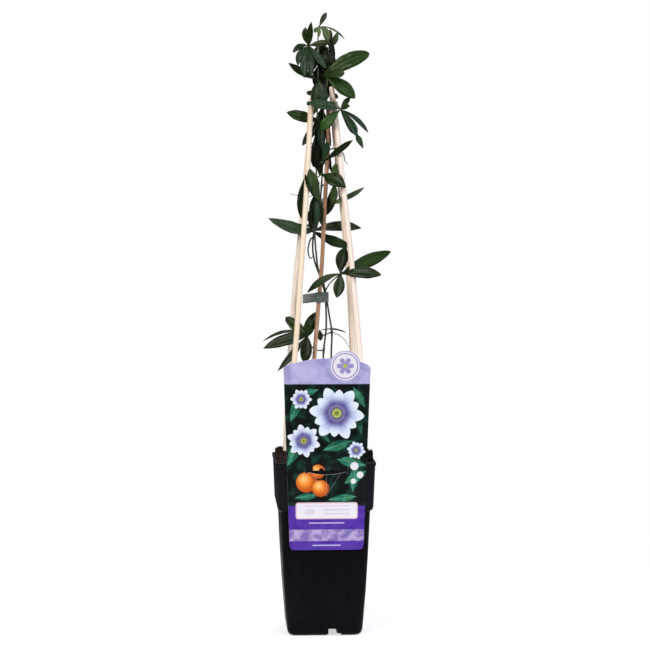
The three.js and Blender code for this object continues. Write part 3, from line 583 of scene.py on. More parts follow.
def buildPot():
    settings = potSettings
    foot = [tuple(point) for point in smoothLine(settings["foot"], settings["footRows"])]
    outside = [*foot, *settings["walls"], *settings["lip"]]
    inner = [(z, wallHalf(z, 0), corner - 1) for z, _, corner in reversed(settings["walls"])]
    floor = settings["floorTop"]
    floorCorner = settings["floorCorner"]
    bendHalf = wallHalf(settings["foot"][2][0] + settings["insideLift"], 0)
    inside = [*settings["inside"], *inner, (floor + settings["floorBend"], bendHalf, floorCorner),
              (floor, settings["floorHalf"], floorCorner)]
    rings = [roundedSquare(*row, settings["cornerSteps"]) for row in [*outside, *inside]]
    pot = linkObject("potShell", ringLoft("potShell", rings))
    wall = settings["wall"]
    channels = [(settings["channelX"], False), (0, True)]
    housing = [(z + wall, left + wall, right + wall) for z, left, right in settings["channel"]]
    for channel in channels:
        combine(pot, channelMesh("housing", housing, settings["housingHalfLength"], *channel), "UNION")
    cut = [(settings["cutFrom"], *settings["channel"][0][1:]), *settings["channel"]]
    for channel in channels:
        combine(pot, channelMesh("channel", cut, settings["cutReach"], *channel), "DIFFERENCE")
    spread = settings["drainSpread"]
    radius = settings["drainRadius"]
    circle = [math.tau * step / settings["drainSides"] for step in range(settings["drainSides"])]
    for x, y in ((-spread, -spread), (-spread, spread), (spread, -spread), (spread, spread)):
        hole = [[(x + radius * math.cos(a), y + radius * math.sin(a), z) for a in circle]
                for z in (settings["cutFrom"], settings["cutTo"])]
        combine(pot, ringLoft("drain", hole), "DIFFERENCE")
    mesh = roundEdges(pot, settings["bevel"], settings["bevelDegrees"], settings["sharpDegrees"])
    dressMesh(mesh, makePotPlastic())
    return addPiece("potShell", mesh, ["pot"])


buildPot()
print("pot built")

# soil
soilSettings = {
    "level": 197.4, "gap": 0.35, "rings": 34, "cornerSteps": 6, "sideSteps": 22,
    # broad and fine unevenness: height, scale, roughness, and which layer of the noise is used
    "uneven": ((2.2, 0.11, 0.6, 5), (0.9, 0.55, 0.7, 9)),
    "heaps": [(-45, 44, 16, 5.5), (53, -36, 12, 10.5)], # x, y, spread and height
    "corner": 7.5,
    "skirt": [193, 150.2, 147.4, 145.8, 145, 144.2, 96, 54, 13], # follows the steps of the pot's inside
    "crumbs": {"density": 60000.0, "smallest": (0.5, 0.5, 0.4), "largest": (1.5, 1.3, 1.1),
               "turn": 6.3, "lift": 0.0, "seed": 3},
    "chips": {"density": 17000.0, "smallest": (1.4, 0.6, 0.35), "largest": (4.6, 1.5, 0.8),
              "turn": 6.3, "lift": 0.4, "seed": 11},
    # x, y and height of each tuft of splinters
    "shards": [(-49, 49, 7), (-43, 50, 7), (-51, 43, 7), (-46, 45, 6), (-37, 49, 5), (-51, 33, 5),
               (52, -46, 5), (53, -42, 5), (52, -36, 6), (53, -33, 6), (53, -27, 5), (53, -20, 4)],
    "shardSpread": 4.0, "shardsEach": 12,
    "shardThick": (0.7, 1.5), "shardMiddle": 0.9, "shardTip": 0.35,
    "shardRim": 1.2, "shardRoot": 1.5, "shardLean": 2.5, "shardShortest": 0.5,
    "shardSweep": {"sides": 5, "spacing": 1.0, "wobble": 0.9, "wobbleScale": 700.0},
    "seed": 4,
    "bedSharp": 70, "bitSharp": 60, # in degrees
    # light, middle and dark tone
    "earth": ("#3d2a22", "#281c17", "#110c0a"),
    "bark": ("#5a3c2f", "#2e1e18", "#140d0b"),
    "shine": {"Specular IOR Level": 0.25},
    "patch": (210.0, 5.0, 0.38, 0.62), "fine": (1500.0, 4.0, 0.35, 0.7),
    "lightShare": 0.8, "darkShare": 0.35, "roughness": (0.75, 0.98), "relief": (0.0004, 1.0),
}


def makeSoilFinish(name, light, middle, dark):
    settings = soilSettings
    material, tree, shader = newMaterial(name, settings["shine"])
    spot = objectPlace(tree)
    tint = readAttribute(tree, "tint")["Fac"]
    patch = grain(tree, spot, settings["patch"])
    fine = grain(tree, spot, settings["fine"])
    base = blend(tree, patch, dark, middle)
    base = blend(tree, times(tree, tint, settings["lightShare"]), base, light)
    base = blend(tree, times(tree, fine, settings["darkShare"]), base, dark)
    plugInto(tree, shader, baseColor=base, roughness=blendValues(tree, patch, *settings["roughness"]))
    addBump(tree, shader, fine, settings["relief"])
    return material


def soilHeight(x, y):
    height = soilSettings["level"]
    for high, scale, rough, layer in soilSettings["uneven"]:
        height += noise.fractal(Vector((x, y, layer)) * scale, rough, 2.0, 3) * high
    return height + sum(high * math.exp(-((x - heapX) ** 2 + (y - heapY) ** 2) / spread ** 2)
                        for heapX, heapY, spread, high in soilSettings["heaps"])


def buildSoil():
    settings = soilSettings
    half = potSettings["mouthHalf"] - settings["gap"]
    rings = []
    for z in reversed(settings["skirt"]):
        rings.append(roundedSquare(z, wallHalf(z, settings["gap"]), settings["corner"],
                                   settings["cornerSteps"], settings["sideSteps"]))
    for number in range(settings["rings"]):
        share = 1 - number / settings["rings"]
        flat = roundedSquare(0, half * share, settings["corner"] * share, settings["cornerSteps"],
                             settings["sideSteps"])
        rings.append([(x, y, soilHeight(x, y)) for x, y, _ in flat])
    mesh = smoothFaces(ringLoft("soilBed", rings), settings["bedSharp"])
    earth = makeSoilFinish("dampSoil", *settings["earth"])
    mesh.materials.append(earth)
    bed = addPiece("soilBed", mesh, ["soil"])
    bark = makeSoilFinish("barkChips", *settings["bark"])
    for name, finish in (("crumbs", earth), ("chips", bark)):
        values = settings[name]
        copy = linkObject(name, bed.data.copy())
        strewn = runTree(copy, scatterTree, {
            "Density": values["density"], "Seed": values["seed"], "Lift": values["lift"] * millimetre,
            "Smallest": [size * millimetre for size in values["smallest"]],
            "Largest": [size * millimetre for size in values["largest"]],
            "Turn": (values["turn"],) * 3, "Material": finish,
        })
        smoothFaces(strewn, settings["bitSharp"])
        addPiece(f"soil{name.capitalize()}", strewn, ["soil"])
    buildShards(bark)


def buildShards(material):
    # long bark splinters that stand up in the two heaps, against the rim
    settings = soilSettings
    random.seed(settings["seed"])
    limit = potSettings["mouthHalf"] - settings["shardRim"]
    lean = settings["shardLean"]
    strands = []

    def kept(value):
        return max(-limit, min(limit, value))

    for x, y, high in settings["shards"]:
        for _ in range(settings["shardsEach"]):
            footX = kept(x + random.uniform(-1, 1) * settings["shardSpread"])
            footY = kept(y + random.uniform(-1, 1) * settings["shardSpread"])
            foot = Vector((footX, footY, soilHeight(footX, footY) - settings["shardRoot"]))
            tip = foot + Vector((random.uniform(-lean, lean), random.uniform(-lean, lean),
                                 high * random.uniform(settings["shardShortest"], 1)))
            tip.x = kept(tip.x)
            tip.y = kept(tip.y)
            thick = random.uniform(*settings["shardThick"])
            sizes = [thick, thick * settings["shardMiddle"], thick * settings["shardTip"]]
            strands.append(([foot, foot.lerp(tip, 0.5), tip], sizes))
    values = {**settings["shardSweep"], "seed": settings["seed"]}
    mesh = sweepStrands("barkShards", strands, values, material)
    addPiece("barkShards", mesh, ["soil"])


buildSoil()
print("soil strewn")

# stakes and cane
stakeSettings = {
    "radius": 3.0,
    "headRadius": 2.5, # the cut head is a little rounded over
    # how much thicker low down, and the heights between which that sets in
    "plainFoot": 0.1, "thickFoot": {"stake_front_right": 0.4, "stake_back_right": 0.25},
    "taperFrom": 430, "taperTo": 330, "steps": 150, "measureSteps": 400,
    "roughness": 0.5, "markTint": "#8d6b50",
    "sides": 24, "spacing": 3.0, "wobble": 0.16, "wobbleScale": 60.0,
    "lines": {
        "stake_front_left": [
            (-34, -33, 14), (-37.4, -35.8, 110), (-39.3, -37, 203), (-35.8, -33, 290), (-31.2, -28, 348),
            (-27.1, -24, 404), (-23.7, -21, 449), (-20.4, -18, 495), (-17.2, -15, 551), (-14.4, -12, 609)],
        "stake_back_left": [
            (-36, 33, 14), (-39.6, 36.5, 110), (-41.6, 38, 203), (-40.5, 36, 243), (-36.4, 30, 319),
            (-30.4, 22, 403), (-25.9, 17, 449), (-20.7, 13.5, 505), (-15.6, 11, 560), (-12, 10, 611)],
        "stake_front_right": [
            (35, -33, 14), (39.2, -36, 110), (42.1, -37, 203), (41.3, -34, 280), (39.1, -30, 325),
            (35.8, -26, 370), (29.9, -20, 438), (22.5, -15, 506), (15.3, -10, 574), (9.3, -5, 623)],
        "stake_back_right": [
            (34, 33, 14), (38.5, 36.5, 110), (40.7, 38, 203), (39.2, 34, 270), (35.7, 30, 321),
            (32, 22, 391), (25.6, 16, 460), (20.7, 12, 506), (14.4, 8.5, 565), (10.5, 6.5, 612)],
    },
    # pale and darker tone of the wood, and how strong its brown marks are
    "tones": {
        "stake_front_left": ("#f7e5d2", "#ecd1b3", 0.3),
        "stake_back_left": ("#f8ece0", "#f0dccb", 0.2),
        "stake_front_right": ("#fbeae1", "#f2dacb", 0.3),
        "stake_back_right": ("#f8e8d8", "#ead0b8", 0.45),
    },
}

caneSettings = {
    "radius": 2.4, "ringRadius": 2.95, "ringSpan": 2.4,
    "ringHeights": [290, 466, 566],
    "steps": 400,
    "roughness": 0.42, "markTint": "#60402f", "tones": ("#cda384", "#a07358", 0.8), "woodSeed": 8,
    "sides": 20, "spacing": 0.9, "wobble": 0.2, "wobbleScale": 45.0, "seed": 9,
    "line": [(-28, 4, 60), (-18.4, 2, 205), (-9.9, 0, 316), (-4.9, 0, 379), (-1.2, 0, 425), (0.7, 0, 463),
             (3, 0, 508), (5.6, 0, 562), (5.9, 0, 600)],
}


woodSettings = {
    "shine": {"Specular IOR Level": 0.35},
    "shift": 7.3, "markShift": 3.1, # how far the fibres move on from rod to rod
    "thinFibre": (0.55, 0.85), "thinShare": 0.45, "blotch": (26.0, 4.0, 0.6, 0.78),
    "markAcross": 14.0, "markAlong": 60.0, "roughSpan": 0.16, "relief": (0.00025, 0.8),
}


def makeRodWood(name, tones, seed, settings):
    wood = woodSettings
    light, dark, marks = tones
    brown = settings["markTint"]
    smooth = settings["roughness"]
    material, tree, shader = newMaterial(name, wood["shine"])
    fibres = rodFibres(tree, shift=seed * wood["shift"])
    base = blend(tree, fibres["Mask"], light, dark)
    thin = rangeNode(tree, fibres["Fine"], *wood["thinFibre"], "LINEAR")
    base = blend(tree, times(tree, thin, wood["thinShare"]), base, brown)
    scale, *rest = wood["blotch"]
    blotch = grain(tree, objectPlace(tree), (scale + seed, *rest))
    short = rodFibres(tree, acrossScale=wood["markAcross"], alongScale=wood["markAlong"],
                      shift=seed * wood["markShift"])
    streak = times(tree, blotch, short["Mask"])
    base = blend(tree, times(tree, streak, marks), base, brown)
    rough = blendValues(tree, fibres["Mask"], smooth, smooth + wood["roughSpan"])
    plugInto(tree, shader, baseColor=base, roughness=rough)
    addBump(tree, shader, fibres["Fine"], wood["relief"])
    return material


def buildStakes():
    settings = stakeSettings
    spread = settings["taperFrom"] - settings["taperTo"]
    for number, (node, points) in enumerate(settings["lines"].items()):
        wood = makeRodWood(f"stakeWood{number + 1}", settings["tones"][node], number + 1, settings)
        line = smoothLine(points, settings["steps"])
        thicker = settings["thickFoot"].get(node, settings["plainFoot"])
        shares = [min(1, max(0, (settings["taperFrom"] - point.z) / spread)) for point in line]
        radii = [settings["radius"] + thicker * share for share in shares]
        radii[-1] = settings["headRadius"]
        words = node.split("_")
        name = words[0] + "".join(word.capitalize() for word in words[1:])
        mesh = sweepStrands(name, [(line, radii)], {**settings, "seed": number + 2}, wood)
        addPiece(name, mesh, [node])


def buildCane():
    settings = caneSettings
    line = smoothLine(settings["line"], settings["steps"])
    radii = []
    for point in line:
        ring = max(math.exp(-((point.z - z) / settings["ringSpan"]) ** 2 * 2)
                   for z in settings["ringHeights"])
        radii.append(settings["radius"] + (settings["ringRadius"] - settings["radius"]) * ring)
    wood = makeRodWood("caneWood", settings["tones"], settings["woodSeed"], settings)
    mesh = sweepStrands("cane", [(line, radii)], settings, wood)
    addPiece("splitCane", mesh, ["cane"])


buildStakes()
buildCane()
print("stakes and cane swept")

# band and tie
bandSettings = {"z": 606, "height": 4, "thickness": 1.0, "slack": 0.65, "arcs": 32, "corners": 120,
                "bevel": 0.35, "tints": ("#1b2a17", "#2a3c22"), "rub": (300.0, 3.0, 0.35, 0.7),
                "shine": {"Roughness": 0.55, "Specular IOR Level": 0.3}, "relief": (0.0001, 0.6)}

tieSettings = {
    "z": 377.5, "height": 11.5, "thickness": 0.8,
    "wraps": [(-4.9, 0, 3.6), (3.2, 6.2, 2.2), (3.6, 10, 2.6)], # x, y and inside radius round cane and stems
    "arcs": 32, "corners": 120, "tailFrom": (-8.9, 0), "tailTo": (-23.5, -2.5), "tailHalf": 0.8,
    "tailInset": 0.5,
    "tailDrop": 1.7, # how far the loose end hangs down
    "tailRows": 30,
    "tailThin": 0.35, # how much of its thickness the loose end loses towards its tip
    "ripple": 0.35, "rippleRate": 9, "pinch": 0.2, "pinchRate": 17, "bevel": 0.25,
    "tints": {"dark": "#66716c", "light": "#7b8681", "smear": "#555c59"},
    "shine": {"Specular IOR Level": 0.35, "Sheen Weight": 0.15},
    "ribs": (1.0, 2.0, 0.35, 0.65), "ribStretch": (90.0, 90.0, 900.0),
    "smear": (160.0, 4.0, 0.4, 0.7), "smearShare": 0.5,
    "roughness": (0.42, 0.6), "relief": (0.00015, 0.7),
}


def hullRound(circles, offset, arcs):
    # the line a stretched belt takes round several circles, counter-clockwise
    points = []
    for x, y, radius in circles:
        for step in range(arcs):
            angle = math.tau * step / arcs
            points.append((x + (radius + offset) * math.cos(angle), y + (radius + offset) * math.sin(angle)))
    points.sort()

    def half(line):
        chain = []
        for point in line:
            while len(chain) > 1:
                a, b = chain[-2:]
                if (b[0] - a[0]) * (point[1] - a[1]) - (b[1] - a[1]) * (point[0] - a[0]) > 1e-9:
                    break
                chain.pop()
            chain.append(point)
        return chain[:-1]
    return [*half(points), *half(points[::-1])]


def evenLoop(points, count):
    # the same loop with points at equal steps
    loop = [Vector((*point, 0)) for point in points]
    loop.append(loop[0])
    lengths = [0]
    for a, b in zip(loop, loop[1:]):
        lengths.append(lengths[-1] + (b - a).length)
    spots = []
    part = 0
    for step in range(count):
        far = lengths[-1] * step / count
        while lengths[part + 1] < far:
            part += 1
        share = (far - lengths[part]) / max(lengths[part + 1] - lengths[part], 1e-9)
        spots.append(loop[part].lerp(loop[part + 1], share))
    return spots


def beltMesh(name, circles, settings):
    # both loops start at their leftmost point, so that they keep step with each other
    inner, outer = (evenLoop(hullRound(circles, offset, settings["arcs"]), settings["corners"])
                    for offset in (0, settings["thickness"]))
    rings = []
    for loop, z in ((outer, 0), (outer, settings["height"]), (inner, settings["height"]), (inner, 0)):
        rings.append([(point.x, point.y, settings["z"] + z) for point in loop])
    count = len(inner)
    points = [place(point) for ring in rings for point in ring]
    faces = []
    for row in range(4):
        for side in range(count):
            a = row * count + side
            b = row * count + (side + 1) % count
            shift = count if row < 3 else -3 * count
            faces.append((a, b, b + shift, a + shift))
    mesh = bpy.data.meshes.new(name)
    mesh.from_pydata(points, [], faces)
    return mesh


def buildBand():
    settings = bandSettings
    circles = []
    for points in stakeSettings["lines"].values():
        line = smoothLine(points, stakeSettings["measureSteps"])
        spot = pointAtHeight(line, min(settings["z"], points[-1][2] - 1))
        circles.append((spot.x, spot.y, stakeSettings["radius"] + settings["slack"]))
    low = {**settings, "z": settings["z"] - settings["height"]}
    mesh = roundEdges(linkObject("band", beltMesh("stakeBand", circles, low)), settings["bevel"])
    material, tree, shader = newMaterial("bandRubber", settings["shine"])
    rub = grain(tree, objectPlace(tree), settings["rub"])
    plugInto(tree, shader, baseColor=blend(tree, rub, *settings["tints"]))
    addBump(tree, shader, rub, settings["relief"])
    dressMesh(mesh, material)
    addPiece("stakeBand", mesh, ["stake_band"])


def makeTapeFinish():
    settings = tieSettings
    tints = settings["tints"]
    material, tree, shader = newMaterial("tieTape", settings["shine"])
    spot = objectPlace(tree)
    stretched = addNode(tree, "Mapping", vector=spot, scale=settings["ribStretch"])
    ribs = grain(tree, stretched[0], settings["ribs"])
    smear = grain(tree, spot, settings["smear"])
    base = blend(tree, ribs, tints["dark"], tints["light"])
    base = blend(tree, times(tree, smear, settings["smearShare"]), base, tints["smear"])
    plugInto(tree, shader, baseColor=base, roughness=blendValues(tree, smear, *settings["roughness"]))
    addBump(tree, shader, ribs, settings["relief"])
    return material


def buildTie():
    settings = tieSettings
    body = linkObject("tie", beltMesh("tapeTie", settings["wraps"], settings))
    start = Vector((*settings["tailFrom"], 0))
    end = Vector((*settings["tailTo"], 0))
    rings = []
    low = settings["z"] + settings["tailInset"]
    high = settings["z"] + settings["height"] - settings["tailInset"]
    for row in range(settings["tailRows"] + 1):
        share = row / settings["tailRows"]
        middle = start.lerp(end, share)
        middle.y += settings["ripple"] * math.sin(share * settings["rippleRate"]) * share
        pinch = settings["pinch"] * math.sin(share * settings["pinchRate"])
        drop = settings["tailDrop"] * share
        half = settings["tailHalf"] * (1 - settings["tailThin"] * share)
        rings.append([(middle.x, middle.y + side * half, z - drop) for side, z in (
            (-1, low + pinch), (1, low + pinch), (1, high - pinch), (-1, high + pinch))])
    combine(body, ringLoft("tail", rings), "UNION")
    mesh = roundEdges(body, settings["bevel"])
    dressMesh(mesh, makeTapeFinish())
    addPiece("tapeTie", mesh, ["tie"])


buildBand()
buildTie()
print("band and tie built")

# label card
cardSettings = {
    "rimZ": 199.5, "standOff": 0.34, "lipHalf": 57.1,
    "tilt": 2.8, # degrees, the top leaning away from the stakes
    "thickness": 0.8, "bevel": 0.12,
    "arcSteps": 24, "cornerSteps": 10, "shoulderSteps": 12, "bumpSteps": 12, "sagSteps": 20,
    "bottomZ": 100.6, "bottomHalf": 41.8, "bottomCorner": 6.4,
    "shoulderHalf": 48.8, "shoulderZ": 307, "shoulderPull": (3, 5),
    "archZ": 318, "archFrom": (36, 313), "archPull": 18, "midX": 1,
    "badge": {"x": 21.3, "z": 309.3, "radius": 17.3, "leftRise": 9, "rightRise": 4.7},
    "slot": {"half": 23.6, "block": 8, "leg": 2, "top": 196.4, "bar": 191.4, "legFoot": 187.4,
             "sagEnd": 189.6, "sagMid": 186.4, "bumpX": 6.2, "bumpRadius": 2.6},
    "plainTints": ("#eceaf0", "#f6f5f8"),
    "shine": {"Roughness": 0.4, "Specular IOR Level": 0.3},
    "fine": (700.0, 2.0, 0.35, 0.65), "relief": (0.00003, 0.5),
    "printedFacing": -0.9, # faces that look forward more than this carry the print
}

# the print, a plain garden pattern
printSettings = {
    "shine": {"Roughness": 0.36, "Specular IOR Level": 0.2},
    "fine": (900.0, 2.0, 0.35, 0.65), "relief": (0.00002, 0.5),
    "patchy": (0.07, 3.0, 0.4, 0.65), "vein": (0.11, 6.0, 0.38, 0.66), "cloud": (0.09, 4.0, 0.45, 0.7),
    "glimmer": (0.16, 2.0, 0.45, 0.65), "wash": (0.045, 3.0, 0.4, 0.7),
    "wave": {"scale": 0.018, "distortion": 9.0, "detail": 2.0}, "waveSpan": (0.4, 0.8),
    "header": "#9f9cc8", "headerWave": "#827db2", "headerLight": "#b7b6da", "headerFoot": 289,
    "night": "#060c0c", "nightLeaf": "#123a33", "leaf": "#1f6b58", "leafVein": "#6fae95", "grass": "#3d7a45",
    "leafLight": "#46a084", "stamen": "#e9ecd2", "shadow": "#020404",
    "petal": "#b9c3e2", "petalTip": "#dfe6f2", "petalShade": "#5d58a6", "ring": "#3d2a72",
    "heart": "#a8b254", "heartDark": "#4c5a24",
    "berry": "#e8832a", "berryShade": "#b4521c", "berryLight": "#f8c078",
    "band": "#4f2f9c", "bandDark": "#43268c", "bandLight": "#7464a6", "marble": "#ab9dc6", "dash": "#c2b6e0",
    "white": "#d9d6df", "greyLine": "#c3bfca", "pinkLine": "#c98aa0", "mauve": "#7a62b0",
    "pictureFoot": 151,
    # how strongly a tint or an effect covers what lies under it
    "cover": {"shadow": 0.85, "leaf": 0.8, "leafLight": 0.7, "leafVein": 0.6, "streak": 1.5, "fold": 0.6,
              "headerWave": 0.6, "headerLight": 0.7, "edge": 0.6, "dash": 0.7, "star": 0.8, "crease": 0.35},
    "softEdge": 0.4, "leafSoft": 0.5, "ribHalf": 0.28,
    "bloomShadow": 0.9, "dashCorner": 0.9, # shares of a bloom's radius and of a bar's half height
    "streakRate": 9.0, "streak": {"scale": 2.0, "detail": 2.0},
    # x, z, half length, half height and corner radius
    "strip": (1, 117.5, 60, 6.5, 0.5),
    "box": ((1, 145.5, 35, 9.5, 3), (1, 145.5, 33.8, 8.3, 2.2)),
    # x, z, radius and turn in radians
    "blooms": [(12, 256, 31, 0.35), (-25, 225, 19, 0.9), (-28, 272, 12, 0.1), (34, 214, 10.5, 0.6)],
    # radius and turn of the two layers of petals, as a share of the bloom and beside its turn
    "petalLayers": ((1.0, 0.0), (0.86, 1.57)),
    # radius and softness as shares of the bloom, tint and strength of the rings in its middle
    "eye": ((0.46, 0.12, "ring", 0.7), (0.34, 0.0, "stamen", 0.8), (0.23, 0.03, "ring", 0.9),
            (0.17, 0.03, "heart", 1.0), (0.08, 0.03, "heartDark", 0.8)),
    "berries": [(-22, 178, 11.5), (-6, 171, 9.5), (-9, 190, 8)],
    # how far left and up, how large and how soft, as shares of the berry, and the tint
    "berrySpots": ((0.2, 0.2, 0.7, 0.35, "berry"), (0.25, 0.3, 0.3, 0.4, "berryLight")),
    # shares of a motif's radius by which its shadow lies to the right, lies lower and is blurred
    "shadowPlace": (0.14, 0.2, 0.28),
    "stamens": {"count": 34.0, "notch": 0.9, "bluntness": 0.8, "softness": 0.25},
    # where a petal's tip, root and fold set in and are full
    "petalParts": {"tip": (0.5, 1.0), "root": (0.75, 0.3), "fold": (0.45, 0.9)},
    # foot x, foot z, turn in degrees, length and width
    "leaves": [
        (-44, 196, 62, 40, 13), (-4, 214, 18, 36, 12), (12, 204, -12, 34, 13), (40, 232, 108, 34, 12),
        (-40, 246, 70, 34, 11), (20, 176, 30, 30, 12), (30, 166, 84, 34, 11), (-36, 160, 8, 30, 9),
        (4, 222, 118, 30, 10), (44, 262, 120, 28, 9), (-8, 283, 196, 26, 9), (2, 158, 6, 34, 9),
    ],
    "dots": [(32, 196, 4.6), (38.5, 186, 3.8), (31, 179, 3)],
    "badgeRings": ((0.93, "white"), (0.84, "mauve"), (0.78, "white")),
    "star": {"radius": 9.5, "count": 6.0, "notch": 0.6, "bluntness": 3.0}, "starHeart": 2.4,
    "crease": {"width": 0.25, "softness": 0.3},
    # start and end of the light creases below the slot
    "creases": (((-14.9, 187.5), (0.6, 162)), ((16.2, 187.5), (0.6, 162)), ((0.6, 186), (0.6, 167))),
    # plain bars: middle x, middle z, half length, half height and tint
    "dashes": [(1, 131.5, 20, 0.8, "dash"), (1, 106, 16, 0.8, "dash"), (1, 151, 26, 0.35, "pinkLine"),
               (12, 146.5, 15, 1.2, "greyLine"), (12, 142, 15, 1.2, "greyLine"),
               (-18, 144.2, 6, 3.4, "greyLine")],
}


def cardOutline():
    settings = cardSettings
    badge = settings["badge"]
    middle = settings["midX"]
    left = middle - settings["bottomHalf"]
    right = middle + settings["bottomHalf"]
    corner = settings["bottomCorner"]
    foot = settings["bottomZ"]
    shoulder = settings["shoulderZ"]
    wide = settings["shoulderHalf"]
    pullIn, pullUp = settings["shoulderPull"]
    archX, archZ = settings["archFrom"]
    steps = settings["arcSteps"]
    rightAngle = math.asin(badge["rightRise"] / badge["radius"])
    leftAngle = math.pi - math.asin(badge["leftRise"] / badge["radius"])

    def bend(a, b, c, count):
        return [tuple((1 - t) ** 2 * p + 2 * t * (1 - t) * q + t ** 2 * r for p, q, r in zip(a, b, c))
                for t in (step / count for step in range(1, count + 1))]

    arc = []
    for step in range(steps * 2 + 1):
        angle = rightAngle + (leftAngle - rightAngle) * step / (steps * 2)
        arc.append((badge["x"] + badge["radius"] * math.cos(angle),
                    badge["z"] + badge["radius"] * math.sin(angle)))
    rightShoulder = (middle + wide, shoulder)
    leftShoulder = (middle - wide, shoulder)
    points = [(left + corner, foot), (right - corner, foot)]
    points += bend(points[-1], (right, foot), (right, foot + corner), settings["cornerSteps"])
    points += [rightShoulder]
    points += bend(rightShoulder, (middle + wide - pullIn, shoulder + pullUp), arc[0],
                   settings["shoulderSteps"])
    points += arc[1:]
    points += bend(arc[-1], (middle - settings["archPull"], settings["archZ"]), (middle - archX, archZ),
                   steps)
    points += bend(points[-1], (middle - wide + pullIn, shoulder + pullUp), leftShoulder,
                   settings["shoulderSteps"])
    points += [(left, foot + corner)]
    points += bend(points[-1], (left, foot), (left + corner, foot), settings["cornerSteps"])[:-1]

    slot = settings["slot"]
    inner = slot["half"] - slot["block"]
    half = slot["half"]
    hole = [(middle - half, slot["legFoot"]), (middle - half, slot["top"]), (middle - inner, slot["top"]),
            (middle - inner, slot["bar"])]
    for side in (-1, 1):
        for step in range(settings["bumpSteps"] + 1):
            angle = math.pi - math.pi * step / settings["bumpSteps"]
            hole.append((middle + side * slot["bumpX"] + slot["bumpRadius"] * math.cos(angle),
                         slot["bar"] + slot["bumpRadius"] * math.sin(angle)))
    hole += [(middle + inner, slot["bar"]), (middle + inner, slot["top"]), (middle + half, slot["top"]),
             (middle + half, slot["legFoot"]), (middle + half - slot["leg"], slot["legFoot"])]
    start = (middle + half - slot["leg"], slot["sagEnd"])
    end = (middle - half + slot["leg"], slot["sagEnd"])
    sag = (middle, 2 * slot["sagMid"] - slot["sagEnd"])
    hole += [start, *bend(start, sag, end, settings["sagSteps"])]
    hole += [(middle - half + slot["leg"], slot["legFoot"])]
    return points, hole


